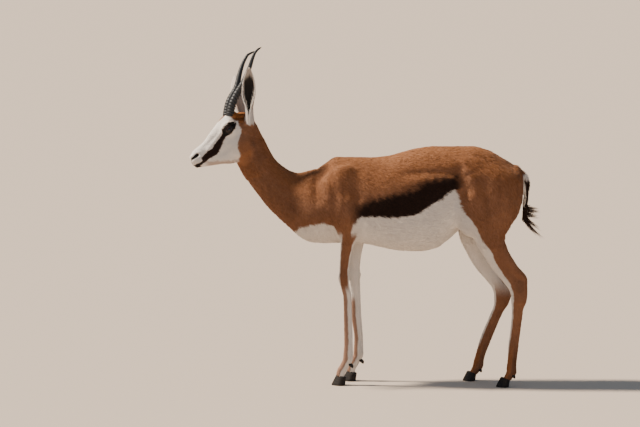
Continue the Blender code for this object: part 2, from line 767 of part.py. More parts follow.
LEG_CUTS = {
    "front_left": (
        ((-0.060, -0.058, 0.466), (0.12, 0, 1)), ((-0.0650, -0.049, 0.321), (-0.1, 0, 1)),
        ((-0.0565, -0.048, 0.116), (0, 0, 1)),
    ),
    "front_right": (
        ((-0.027, 0.058, 0.466), (0.12, 0, 1)), ((-0.0320, 0.049, 0.321), (-0.1, 0, 1)),
        ((-0.0235, 0.048, 0.116), (0, 0, 1)),
    ),
    "hind_left": (
        ((0.438, -0.075, 0.462), (-0.45, 0, 0.89)), ((0.520, -0.066, 0.288), (0.05, 0, 1)),
        ((0.4975, -0.065, 0.078), (0.08, 0, 1)),
    ),
    "hind_right": (
        ((0.380, 0.075, 0.452), (-0.45, 0, 0.89)), ((0.460, 0.066, 0.262), (0.28, 0, 0.96)),
        ((0.3880, 0.065, 0.080), (0.33, 0, 0.94)),
    ),
}
for foot, planes in LEG_CUTS.items():
    wide = 0.085 if foot.startswith("front") else 0.15
    for (centre, normal), size in zip(planes, (wide, 0.08, 0.06)):
        cut(flesh, slab("cut_" + foot, centre, normal, (size, size), helpers, coat))
    toe_x, heel_x, y, height = FEET[foot]
    length = heel_x - toe_x
    top = (toe_x + 0.8 * length, y, height - 0.3 * 0.2 * length + 0.0004)
    cut(flesh, slab("coronet_" + foot, top, (0.3, 0, 1), (0.09, 0.09), helpers, coat))

NODES = {
    "head": from_head(0.10, 0.005, 0),
    "lower_jaw": from_head(0.11, -0.062, 0),
    "neck": (-0.345, 0, 0.735),
    "chest": (-0.09, 0, 0.64),
    "trunk": (0.17, 0, 0.63),
    "rump": (0.40, 0, 0.72),
    "tail": (0.536, 0, 0.63),
}
for side, y in (("left", -1), ("right", 1)):
    fore = 0 if side == "left" else RIGHT_FRONT_STEP
    hind = HIND_LEG if side == "left" else RIGHT_HIND_LEG
    NODES["upper_arm_" + side] = (-0.09, y * 0.08, 0.555)
    NODES["forearm_" + side] = (-0.067 + fore, y * 0.053, 0.41)
    NODES["fore_cannon_" + side] = (-0.059 + fore, y * 0.048, 0.22)
    NODES["fore_pastern_" + side] = (-0.063 + fore, y * 0.048, 0.075)
    NODES["haunch_" + side] = (0.41, y * 0.075, 0.58)
    NODES["gaskin_" + side] = (hind[6][0], y * 0.07, 0.37)
    NODES["hind_cannon_" + side] = (hind[10][0], y * 0.065, 0.19)
    NODES["hind_pastern_" + side] = (hind[13][0], y * 0.065, 0.055)


def loose_parts(obj):
    """Each connected piece of the mesh as (points, faces)."""
    bm = bmesh.new()
    bm.from_mesh(obj.data)
    left = set(bm.verts)
    found = []
    while left:
        start = left.pop()
        island, stack = {start}, [start]
        while stack:
            for edge in stack.pop().link_edges:
                for vert in edge.verts:
                    if vert not in island:
                        island.add(vert)
                        stack.append(vert)
        left -= island
        order = {vert: k for k, vert in enumerate(island)}
        faces = [[order[v] for v in f.verts] for f in bm.faces if f.verts[0] in island]
        found.append(([tuple(v.co) for v in order], faces))
    bm.free()
    return found


parts = loose_parts(flesh)
bpy.data.objects.remove(flesh, do_unlink=True)
for name, seed in NODES.items():
    seed = np.array(seed)
    spans = [np.array(points) for points, _ in parts]
    middles = [(p.min(0) + p.max(0)) / 2 for p in spans]
    nearest = min(range(len(parts)), key=lambda k: np.linalg.norm(middles[k] - seed))
    points, faces = parts.pop(nearest)
    mesh_object(name, points, faces, model, pale if "jaw" in name else coat)
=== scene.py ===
import json
import math

import bmesh
import bpy
import numpy as np
import openvdb
from mathutils import Matrix, Vector

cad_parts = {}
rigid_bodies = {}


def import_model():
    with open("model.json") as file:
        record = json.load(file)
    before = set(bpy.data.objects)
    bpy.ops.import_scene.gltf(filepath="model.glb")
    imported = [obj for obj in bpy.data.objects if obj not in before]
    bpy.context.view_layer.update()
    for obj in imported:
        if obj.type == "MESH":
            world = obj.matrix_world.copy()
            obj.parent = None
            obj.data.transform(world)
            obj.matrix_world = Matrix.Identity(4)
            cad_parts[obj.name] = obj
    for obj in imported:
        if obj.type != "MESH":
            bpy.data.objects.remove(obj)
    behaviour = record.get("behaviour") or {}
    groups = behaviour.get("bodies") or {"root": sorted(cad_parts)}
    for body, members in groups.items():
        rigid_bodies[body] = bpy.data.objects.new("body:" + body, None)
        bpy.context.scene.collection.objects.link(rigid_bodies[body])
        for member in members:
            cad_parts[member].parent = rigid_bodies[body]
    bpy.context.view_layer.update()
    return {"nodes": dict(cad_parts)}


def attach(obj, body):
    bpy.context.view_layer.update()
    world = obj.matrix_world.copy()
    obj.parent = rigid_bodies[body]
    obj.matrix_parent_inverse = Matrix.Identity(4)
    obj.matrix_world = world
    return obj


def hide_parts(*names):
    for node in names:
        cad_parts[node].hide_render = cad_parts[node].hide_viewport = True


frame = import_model()
chance = np.random.default_rng(11)
outOfReach = 0.06  # distance that stands where no form is near


# curves and rounded forms, the same ones that the solids are made from
def slopes(x, y):
    d = np.diff(y) / np.diff(x)
    inner = np.zeros(len(x))
    same = d[:-1] * d[1:] > 0
    inner[1:-1][same] = 2 * d[:-1][same] * d[1:][same] / (d[:-1] + d[1:])[same]
    inner[0] = d[0]
    inner[-1] = d[-1]
    return inner


def curve(knots, at):
    # smooth line through (place, value) knots, level beyond its ends
    x = np.array([k[0] for k in knots], float)
    y = np.array([k[1] for k in knots], float)
    m = slopes(x, y)
    at = np.clip(at, x[0], x[-1])
    i = np.clip(np.searchsorted(x, at) - 1, 0, len(x) - 2)
    h = x[i + 1] - x[i]
    t = (at - x[i]) / h
    rise = (1 + 2 * t) * (1 - t) ** 2 * y[i] + t * t * (3 - 2 * t) * y[i + 1]
    return rise + t * (1 - t) ** 2 * h * m[i] - t * t * (1 - t) * h * m[i + 1]


def step(low, high, value):
    t = np.clip((value - low) / (high - low), 0, 1)
    return t * t * (3 - 2 * t)


def unit(v):
    return v / np.maximum(np.linalg.norm(v, axis=-1, keepdims=True), 1e-12)


def shaped(length, r):
    # distance to a rounded form whose surface is where r is 1
    return length - length / np.maximum(r, 1e-6)


def loft(sizes):
    # a body along its first axis, with top, bottom and width lines and rounded caps
    def field(q):
        a, b, c = q[:, 0], q[:, 1], q[:, 2]
        a0, a1 = sizes["span"]
        inside = np.clip(a, a0, a1)
        top = curve(sizes["top"], inside)
        bottom = curve(sizes["bottom"], inside)
        wide = curve(sizes["wide"], inside)
        mid = bottom + curve(sizes["widest"], inside) * (top - bottom)
        up = b - mid
        tall = np.where(up > 0, top - mid, mid - bottom)
        over = np.where(a > a1, (a - a1) / sizes["caps"][1], (a0 - a) / sizes["caps"][0])
        over = np.maximum(over, 0)
        n = np.where(up > 0, sizes["power"][0], sizes["power"][1])
        ring = (np.abs(c) / wide) ** n + (np.abs(up) / tall) ** n
        r = np.sqrt(ring ** (2 / n) + over**2)
        return shaped(np.sqrt(c * c + up * up + (a - inside) ** 2), r)

    return field


def runAlong(points):
    return np.concatenate([[0], np.cumsum(np.linalg.norm(np.diff(points, axis=0), axis=1))])


def smoothRows(run, rows, at):
    # every column of rows as a smooth line over run
    return np.stack([curve(list(zip(run, rows[:, k])), at) for k in range(rows.shape[1])], axis=1)


def stationsLine(stations, spacing=0.007):
    rows = np.array(stations, float)
    run = runAlong(rows[:, :3])
    at = np.linspace(0, run[-1], int(run[-1] / spacing) + 3)
    return smoothRows(run, rows, at)


def tube(stations):
    # a limb through (x, y, z, half depth, half width) stations
    line = stationsLine(stations)
    centre = line[:, :3]
    along = unit(np.gradient(centre, axis=0))
    across = unit(np.array([0.0, 1.0, 0.0]) - along * along[:, 1:2])
    front = np.cross(across, along)

    def field(q):
        best = np.full(len(q), 1e9)
        index = np.zeros(len(q), int)
        for i, c in enumerate(centre):
            d = ((q - c) ** 2).sum(1)
            nearer = d < best
            best[nearer] = d[nearer]
            index[nearer] = i
        off = q - centre[index]
        s = (off * along[index]).sum(1)
        u = (off * front[index]).sum(1)
        v = (off * across[index]).sum(1)
        last = len(centre) - 1
        outside = ((index == 0) & (s < 0)) | ((index == last) & (s > 0))
        s = np.where(outside, s, 0)
        a = line[index, 3]
        b = line[index, 4]
        r = np.sqrt((u / a) ** 2 + (v / b) ** 2 + (s / np.minimum(a, b)) ** 2)
        return shaped(np.sqrt(u * u + v * v + s * s), r)

    return field


def blob(centre, radii, turn=0.0):
    c, s = math.cos(math.radians(turn)), math.sin(math.radians(turn))
    spin = np.array([[c, 0, s], [0, 1, 0], [-s, 0, c]])

    def field(q):
        local = (q - np.array(centre)) @ spin
        r = np.sqrt(((local / np.array(radii)) ** 2).sum(1))
        return shaped(np.linalg.norm(local, axis=1), r)

    return field


# the head's own directions: forward, up and left after its turn on the neck
headSet = {"origin": (-0.3964, 0.0, 0.8624), "pitch": 30.0, "turn": 22.0, "neckLean": 38.0}


def headFrame():
    pitch, lean = math.radians(headSet["pitch"]), math.radians(headSet["neckLean"])
    forward = (-math.cos(pitch), 0, -math.sin(pitch))
    upward = (-math.sin(pitch), 0, math.cos(pitch))
    axis = Vector((-math.sin(lean), 0, math.cos(lean)))
    turn = np.array(Matrix.Rotation(math.radians(headSet["turn"]), 3, axis))
    return np.array([turn @ forward, turn @ upward, turn @ (0, -1, 0)])


headAxes = headFrame()
headOrigin = np.array(headSet["origin"])


def toHead(q):
    return (np.asarray(q) - headOrigin) @ headAxes.T


def fromHead(q):
    return headOrigin + np.asarray(q, float) @ headAxes


def inHead(field):
    return lambda q: field(toHead(q))


# the body's masses, close to those of the solids
trunk = {
    "box": ((-0.30, -0.18, 0.38), (0.60, 0.18, 0.86)),
    "span": (-0.165, 0.49),
    "caps": (0.075, 0.040),
    "power": (2.0, 2.1),
    "top": [
        (-0.17, 0.712), (-0.137, 0.742), (-0.095, 0.7665), (-0.04, 0.766), (0.02, 0.7655),
        (0.07, 0.770), (0.12, 0.783), (0.17, 0.796), (0.23, 0.8035), (0.35, 0.8035),
        (0.404, 0.792), (0.454, 0.766), (0.49, 0.744),
    ],
    "bottom": [
        (-0.17, 0.486), (-0.12, 0.478), (-0.02, 0.475), (0.05, 0.462), (0.12, 0.451),
        (0.18, 0.449), (0.23, 0.458), (0.27, 0.482), (0.32, 0.527), (0.36, 0.565),
        (0.49, 0.605),
    ],
    "wide": [
        (-0.17, 0.078), (-0.10, 0.091), (0.0, 0.103), (0.10, 0.115), (0.18, 0.118),
        (0.26, 0.115), (0.36, 0.104), (0.43, 0.090), (0.49, 0.064),
    ],
    "widest": [(-0.17, 0.42), (0.05, 0.45), (0.20, 0.50), (0.36, 0.52)],
}

# limbs and neck: (x, y, z, half depth, half width)
neck = [
    (-0.428, 0.0, 0.872, 0.040, 0.030), (-0.407, 0.0, 0.838, 0.052, 0.034),
    (-0.385, 0.0, 0.785, 0.060, 0.036), (-0.353, 0.0, 0.727, 0.060, 0.038),
    (-0.314, 0.0, 0.682, 0.066, 0.044), (-0.262, 0.0, 0.640, 0.082, 0.056),
    (-0.200, 0.0, 0.612, 0.100, 0.072), (-0.130, 0.0, 0.600, 0.105, 0.080),
]

skull = {
    "span": (0.012, 0.217),
    "caps": (0.040, 0.009),
    "power": (2.1, 1.9),
    "top": [
        (0.0, 0.047), (0.019, 0.0565), (0.0525, 0.0735), (0.076, 0.0665), (0.097, 0.0575),
        (0.122, 0.0475), (0.161, 0.0315), (0.201, 0.0250), (0.217, 0.0165),
    ],
    "bottom": [
        (0.0, -0.030), (0.03, -0.060), (0.06, -0.081), (0.095, -0.0815), (0.140, -0.0625),
        (0.180, -0.0470), (0.217, -0.0325),
    ],
    "wide": [
        (0.0, 0.034), (0.03, 0.040), (0.06, 0.041), (0.09, 0.035), (0.122, 0.0275),
        (0.152, 0.0225), (0.182, 0.0205), (0.217, 0.0180),
    ],
    "widest": [(0.0, 0.65), (0.06, 0.70), (0.10, 0.62), (0.15, 0.52), (0.21, 0.50)],
}

frontLeg = [
    (-0.050, -0.072, 0.580, 0.050, 0.030), (-0.050, -0.067, 0.530, 0.036, 0.025),
    (-0.058, -0.060, 0.480, 0.024, 0.019), (-0.066, -0.054, 0.425, 0.0178, 0.0150),
    (-0.0695, -0.051, 0.385, 0.0160, 0.0140), (-0.0700, -0.050, 0.360, 0.0172, 0.0158),
    (-0.0660, -0.049, 0.335, 0.0152, 0.0138), (-0.0588, -0.048, 0.300, 0.0140, 0.0104),
    (-0.0560, -0.048, 0.220, 0.0146, 0.0096), (-0.0548, -0.048, 0.140, 0.0150, 0.0098),
    (-0.0560, -0.048, 0.094, 0.0172, 0.0132), (-0.0680, -0.048, 0.066, 0.0148, 0.0130),
    (-0.0800, -0.048, 0.046, 0.0150, 0.0150), (-0.0870, -0.048, 0.022, 0.0150, 0.0160),
]
# (height, how much further back the right leg stands) and (height, how much deeper it is)
rightFrontSteps = [
    (0.0, 0.033), (0.13, 0.032), (0.20, 0.0265), (0.28, 0.0240), (0.36, 0.0325), (0.45, 0.031),
    (0.53, 0.033),
]
rightFrontMore = [(0.0, 0.0), (0.12, 0.0), (0.20, 0.0024), (0.36, 0.0028), (0.45, 0.002), (0.53, 0.0)]
rightFrontLeg = [
    (x + float(curve(rightFrontSteps, z)), -y, z, deep + float(curve(rightFrontMore, z)), wide)
    for x, y, z, deep, wide in frontLeg
]
armStep = rightFrontSteps[-1][1]

hindLeg = [
    (0.425, -0.055, 0.690, 0.080, 0.046), (0.423, -0.066, 0.620, 0.094, 0.050),
    (0.4160, -0.074, 0.570, 0.083, 0.045), (0.4145, -0.0755, 0.540, 0.0685, 0.0405),
    (0.4175, -0.077, 0.505, 0.0535, 0.036),
    (0.434, -0.074, 0.450, 0.037, 0.026), (0.455, -0.071, 0.410, 0.031, 0.0195),
    (0.478, -0.069, 0.372, 0.0235, 0.0160), (0.500, -0.067, 0.336, 0.0205, 0.0158),
    (0.511, -0.066, 0.303, 0.0222, 0.0155), (0.5105, -0.066, 0.265, 0.0198, 0.0128),
    (0.5050, -0.065, 0.200, 0.0176, 0.0104), (0.4978, -0.065, 0.140, 0.0175, 0.0106),
    (0.4935, -0.065, 0.090, 0.0158, 0.0118), (0.489, -0.065, 0.054, 0.0172, 0.0142),
    (0.478, -0.065, 0.036, 0.0140, 0.0145), (0.468, -0.065, 0.018, 0.0140, 0.0150),
]
hindTendon = [
    (0.452, -0.074, 0.475, 0.008, 0.010), (0.500, -0.071, 0.405, 0.0095, 0.0085),
    (0.5335, -0.067, 0.360, 0.0100, 0.0090), (0.5305, -0.066, 0.332, 0.0105, 0.0105),
    (0.524, -0.066, 0.295, 0.0100, 0.0105),
]
rightHindLeg = [
    (0.425, 0.055, 0.690, 0.080, 0.046), (0.412, 0.066, 0.620, 0.096, 0.050),
    (0.392, 0.074, 0.560, 0.086, 0.045), (0.372, 0.077, 0.495, 0.060, 0.036),
    (0.381, 0.074, 0.440, 0.041, 0.026), (0.397, 0.071, 0.398, 0.031, 0.0195),
    (0.421, 0.069, 0.360, 0.0240, 0.0165), (0.445, 0.067, 0.322, 0.0208, 0.0160),
    (0.4545, 0.066, 0.290, 0.0225, 0.0157), (0.4520, 0.066, 0.262, 0.0195, 0.0132),
    (0.4322, 0.065, 0.210, 0.0184, 0.0108), (0.4040, 0.065, 0.140, 0.0186, 0.0108),
    (0.3880, 0.065, 0.092, 0.0162, 0.0120), (0.3780, 0.065, 0.056, 0.0172, 0.0142),
    (0.3660, 0.065, 0.037, 0.0142, 0.0145), (0.3540, 0.065, 0.018, 0.0140, 0.0150),
]
rightTendon = [
    (0.409, 0.074, 0.452, 0.012, 0.010), (0.450, 0.071, 0.388, 0.0078, 0.0070),
    (0.484, 0.067, 0.334, 0.0088, 0.0085), (0.481, 0.066, 0.308, 0.0105, 0.0105),
    (0.467, 0.066, 0.272, 0.0100, 0.0105),
]
tailStem = [
    (0.500, 0.0, 0.712, 0.022, 0.020), (0.528, 0.0, 0.697, 0.0150, 0.0150),
    (0.5375, 0.0, 0.672, 0.0115, 0.0120), (0.5375, 0.0, 0.640, 0.0080, 0.0085),
    (0.534, 0.0, 0.600, 0.0070, 0.0070), (0.531, 0.0, 0.560, 0.0068, 0.0068),
]


def boxRound(points, pad):
    points = np.array(points)
    return points.min(0) - pad, points.max(0) + pad


# muscles on both sides: (place, half sizes, turn in degrees, blend into the rest)
muscles = [
    # shoulder blade, upper arm, point of the shoulder, haunch, thigh
    ((-0.090, 0.060, 0.655), (0.050, 0.028, 0.092), 24, 0.032),
    ((-0.060, 0.072, 0.590), (0.062, 0.030, 0.062), 10, 0.030),
    ((-0.150, 0.052, 0.585), (0.058, 0.034, 0.050), -35, 0.035),
    ((0.455, 0.052, 0.640), (0.062, 0.048, 0.085), 12, 0.030),
    ((0.360, 0.080, 0.590), (0.050, 0.030, 0.080), 18, 0.040),
]
brisket = ((-0.175, 0.0, 0.545), (0.055, 0.050, 0.050), 20, 0.040)
# the same without a turn, in the head's own directions
headMuscles = [
    # eye socket, cheek, horn base, nostril, root of the ear
    ((0.062, 0.029, 0.036), (0.030, 0.024, 0.018), 0.016),
    ((0.054, -0.036, 0.024), (0.042, 0.040, 0.016), 0.020),
    ((0.034, 0.056, 0.024), (0.022, 0.016, 0.015), 0.012),
    ((0.208, -0.004, 0.011), (0.016, 0.0150, 0.0105), 0.010),
    ((0.003, -0.003, 0.029), (0.019, 0.023, 0.017), 0.022),
]


def bodyMasses():
    made = []

    def addTube(rows, blend):
        reach = max(max(row[3:]) for row in rows) + 0.05
        made.append((tube(rows), *boxRound([row[:3] for row in rows], reach), blend))

    def addBlob(centre, radii, turn, blend):
        made.append((blob(centre, radii, turn), *boxRound([centre], max(radii) + 0.05), blend))

    barrel = loft(trunk)
    low, high = np.array(trunk["box"])
    made.append((lambda q: barrel(q[:, [0, 2, 1]]), low, high, 0.0))
    addTube(neck, 0.045)
    for side, limbs in (
        (-1, (frontLeg, hindLeg, hindTendon)), (1, (rightFrontLeg, rightHindLeg, rightTendon)),
    ):
        for (x, y, z), radii, turn, blend in muscles:
            addBlob((x, side * y, z), radii, turn, blend)
        for rows, blend in zip(limbs, (0.024, 0.030, 0.034)):
            addTube(rows, blend)
    addBlob(*brisket)
    addTube(tailStem, 0.012)

    headBox = boxRound([fromHead((0.1, 0.0, 0.0))], 0.2)
    made.append((inHead(loft(skull)), *headBox, 0.030))
    for side in (-1, 1):
        for (h, u, s), radii, blend in headMuscles:
            low, high = boxRound([fromHead((h, u, side * s))], max(radii) + 0.03)
            made.append((inHead(blob((h, u, side * s), radii)), low, high, blend))
    return made


def fieldAt(points, forms):
    # distance to all forms, each one blended softly into those before it
    value = np.full(len(points), outOfReach)
    for field, low, high, blend in forms:
        near = np.flatnonzero(np.all((points > low) & (points < high), axis=1))
        if not len(near):
            continue
        d = field(points[near])
        old = value[near]
        h = np.maximum(blend - np.abs(old - d), 0) / max(blend, 1e-9)
        value[near] = np.minimum(old, d) - h * h * blend / 4
    return value


# the skin: level inside the body's forms by the coat's depth
skinSet = {
    "voxel": 0.0045,
    "box": ((-0.64, -0.21, -0.015), (0.62, 0.21, 0.965)),
    "bodyDepth": 0.0032,
    "legDepth": 0.0014,
    "headDepth": 0.0010,
    "tailDepth": 0.0012,
    "legTop": 0.47,
    "probe": 4e-4,  # spacing at which the forms' slope is measured
    "longestShift": 0.003,
}


def coatDepth(points):
    low = step(0.40, 0.56, points[:, 2])
    depth = skinSet["legDepth"] + (skinSet["bodyDepth"] - skinSet["legDepth"]) * low
    local = toHead(points)
    onHead = step(-0.06, 0.03, local[:, 0]) * (np.abs(local[:, 1]) < 0.15)
    tail = step(0.515, 0.528, points[:, 0]) * (points[:, 2] > 0.5)
    depth += (skinSet["headDepth"] - depth) * onHead
    return depth + (skinSet["tailDepth"] - depth) * tail


def skinLevel(points, forms):
    return fieldAt(points, forms) + coatDepth(points)


def gridMesh(forms):
    # a rough pass three voxels wide finds the band round the skin, which is then filled finely
    voxel = skinSet["voxel"]
    low, high = np.array(skinSet["box"])
    shape = np.ceil((high - low) / (voxel * 3)).astype(int)
    axes = [low[k] + voxel * 3 * (np.arange(shape[k]) + 1 / 3) for k in range(3)]
    rough = np.stack(np.meshgrid(*axes, indexing="ij"), -1).reshape(-1, 3)
    value = skinLevel(rough, forms).reshape(shape)
    fine = np.repeat(np.repeat(np.repeat(value, 3, 0), 3, 1), 3, 2)
    band = np.argwhere(np.abs(fine) < 0.019)
    fine[tuple(band.T)] = skinLevel(low + voxel * band, forms)
    grid = openvdb.FloatGrid(outOfReach)
    grid.copyFromArray(np.clip(fine, -outOfReach, outOfReach).astype(np.float32))
    points, _, quads = grid.convertToPolygons(isovalue=0.0, adaptivity=0.0)
    return points * voxel + low, quads


def linked(name, data):
    obj = bpy.data.objects.new(name, data)
    bpy.context.scene.collection.objects.link(obj)
    return obj


def meshFrom(name, points, faces):
    mesh = bpy.data.meshes.new(name)
    faces = np.asarray(faces, np.int32)
    count, corners = faces.shape
    mesh.vertices.add(len(points))
    mesh.vertices.foreach_set("co", np.asarray(points, np.float32).ravel())
    mesh.loops.add(count * corners)
    mesh.loops.foreach_set("vertex_index", faces.ravel())
    mesh.polygons.add(count)
    mesh.polygons.foreach_set("loop_start", np.arange(0, count * corners, corners, dtype=np.int32))
    mesh.polygons.foreach_set("use_smooth", np.full(count, True))
    mesh.update(calc_edges=True)
    return linked(name, mesh)


def rework(mesh, change):
    bm = bmesh.new()
    bm.from_mesh(mesh)
    change(bm)
    bm.to_mesh(mesh)
    bm.free()


def faceOutwards(bm):
    bmesh.ops.recalc_face_normals(bm, faces=bm.faces)


def placesOf(mesh):
    found = np.empty(len(mesh.vertices) * 3, np.float32)
    mesh.vertices.foreach_get("co", found)
    return found.reshape(-1, 3).astype(float)


def normalsOf(mesh):
    found = np.empty(len(mesh.vertices) * 3, np.float32)
    mesh.vertex_normals.foreach_get("vector", found)
    return found.reshape(-1, 3).astype(float)


def place(mesh, points):
    mesh.vertices.foreach_set("co", np.asarray(points, np.float32).ravel())
    mesh.update()


def refine(obj, inside):
    # splits every edge of the faces whose corners all lie inside
    flags = inside(placesOf(obj.data))

    def split(bm):
        edges = set()
        for face in bm.faces:
            if all(flags[v.index] for v in face.verts):
                edges.update(face.edges)
        bmesh.ops.subdivide_edges(bm, edges=list(edges), cuts=1, use_grid_fill=True)

    rework(obj.data, split)


def settle(obj, inside, forms, rounds=2):
    # brings the chosen vertices onto the level surface
    points = placesOf(obj.data)
    chosen = np.flatnonzero(inside(points))
    probe, longest = skinSet["probe"], skinSet["longestShift"]
    for _ in range(rounds):
        q = points[chosen]
        value = skinLevel(q, forms)
        slope = np.stack(
            [skinLevel(q + np.eye(3)[k] * probe, forms) - value for k in range(3)], axis=1
        ) / probe
        size = np.maximum((slope**2).sum(1), 0.2)
        shift = slope * (value / size)[:, None]
        points[chosen] = q - np.clip(shift, -longest, longest)
    place(obj.data, points)


def isHead(q):
    local = toHead(q)
    return (local[:, 0] > -0.015) & (np.abs(local[:, 2]) < 0.075) & (local[:, 1] > -0.105)


def isLimb(q):
    return (q[:, 2] < skinSet["legTop"]) | ((q[:, 0] > 0.518) & (q[:, 2] > 0.5)) | isHead(q)


# strokes are shallow hollows and ridges along a path: (path, radius, amount out of the skin)
def pathDistance(q, path):
    # nearest distance to a bent line, and how far along it that is, from 0 to 1
    path = np.asarray(path, float)
    if len(path) == 1:
        return np.linalg.norm(q - path[0], axis=1), np.zeros(len(q))
    best = np.full(len(q), 1e9)
    where = np.zeros(len(q))
    for i in range(len(path) - 1):
        a, span = path[i], path[i + 1] - path[i]
        t = np.clip(((q - a) @ span) / (span @ span), 0, 1)
        d = np.linalg.norm(q - a - t[:, None] * span, axis=1)
        nearer = d < best
        best[nearer] = d[nearer]
        where[nearer] = (i + t[nearer]) / (len(path) - 1)
    return best, where


def press(q, strokes):
    # how far each point moves out along its normal
    total = np.zeros(len(q))
    for path, radius, amount in strokes:
        path = np.atleast_2d(path)
        ends = radius if isinstance(radius, tuple) else (radius, radius)
        low, high = boxRound(path, 3 * max(ends))
        near = np.flatnonzero(np.all((q > low) & (q < high), axis=1))
        if len(near):
            d, t = pathDistance(q[near], path)
            r = ends[0] + (ends[1] - ends[0]) * t
            total[near] += amount * np.exp(-((d / r) ** 2))
    return total


def bothSides(strokes):
    made = []
    for path, radius, amount in strokes:
        for side in (-1, 1):
            made.append(([(x, y * side, z) for x, y, z in path], radius, amount))
    return made


bodyStrokes = bothSides([
    # shoulder blade: front edge, its spine, the hollows before and behind
    ([(-0.105, 0.055, 0.745), (-0.134, 0.080, 0.700), (-0.118, 0.088, 0.640)], 0.013, 0.0045),
    ([(-0.135, 0.050, 0.735), (-0.168, 0.066, 0.685), (-0.152, 0.075, 0.630)], 0.018, -0.0070),
    ([(-0.095, 0.070, 0.735), (-0.080, 0.095, 0.660), (-0.078, 0.097, 0.600)], 0.010, 0.0022),
    ([(-0.035, 0.090, 0.720), (-0.022, 0.105, 0.640)], 0.024, -0.0050),
    ([(-0.060, 0.098, 0.620), (-0.055, 0.102, 0.570)], 0.022, 0.0040),
    # loin shelf, the round end of the barrel, flank hollow and hip
    ([(0.130, 0.100, 0.722), (0.290, 0.100, 0.732)], 0.014, -0.0055),
    ([(0.180, 0.112, 0.698), (0.285, 0.108, 0.690)], 0.020, 0.0045),
    ([(0.318, 0.100, 0.735), (0.330, 0.105, 0.665)], (0.020, 0.026), -0.0110),
    ([(0.330, 0.085, 0.762), (0.338, 0.095, 0.735)], 0.015, 0.0060),
    ([(0.356, 0.108, 0.705), (0.362, 0.112, 0.650)], (0.016, 0.024), 0.0070),
    ([(0.400, 0.105, 0.700), (0.410, 0.118, 0.610)], 0.020, -0.0030),
    ([(0.448, 0.085, 0.705), (0.462, 0.105, 0.560)], 0.010, -0.0030),
    ([(0.440, 0.080, 0.745)], 0.022, 0.0030),
    ([(0.190, 0.108, 0.730), (0.245, 0.107, 0.727), (0.305, 0.100, 0.716)], 0.010, -0.0035),
    ([(-0.014, 0.092, 0.735), (-0.018, 0.105, 0.660), (-0.026, 0.105, 0.585)], 0.017, -0.0035),
    # skin fold from flank to knee, brisket and neck
    ([(0.300, 0.085, 0.610), (0.355, 0.095, 0.560)], 0.012, 0.0030),
    ([(-0.390, 0.034, 0.785), (-0.330, 0.046, 0.690), (-0.250, 0.070, 0.610)], 0.011, -0.0032),
    ([(-0.400, 0.040, 0.820), (-0.350, 0.052, 0.745), (-0.270, 0.068, 0.680)], 0.016, 0.0022),
    ([(-0.175, 0.060, 0.540), (-0.115, 0.075, 0.560)], 0.014, -0.0040),
])


def legStrokes():
    # grooves between bone and tendon, knee and fetlock bumps, on both faces of each leg
    made = []
    for rows, bones in (
        (frontLeg, (7, 9)), (rightFrontLeg, (7, 9)),
        (hindLeg, (9, 11)), (rightHindLeg, (9, 11)),
    ):
        first, last = bones
        for face in (-1, 1):
            path = []
            for k in range(first, last + 1):
                x, y, z, deep, wide = rows[k]
                path.append((x + deep * 0.30, y + face * wide, z))
            made.append((path, 0.0035, -0.0017))
            x, y, z, deep, wide = rows[last + 1]
            made.append(([(x + deep * 0.2, y + face * wide, z)], 0.010, 0.0012))
    for rows in (frontLeg, rightFrontLeg):
        x, y, z, deep, wide = rows[5]
        made.append(([(x - deep, y, z + 0.006)], 0.012, 0.0016))
        made.append(([(x + deep * 0.9, y, z + 0.002)], 0.008, 0.0022))
    for rows, tendon in ((hindLeg, hindTendon), (rightHindLeg, rightTendon)):
        for face in (-1, 1):
            path = []
            for k in range(1, 4):
                bone = min(rows, key=lambda row, z=tendon[k][2]: abs(row[2] - z))
                x = (tendon[k][0] + bone[0]) / 2 + 0.002
                path.append((x, tendon[k][1] + face * 0.014, tendon[k][2]))
            made.append((path, (0.009, 0.007), -0.0020))
    return made


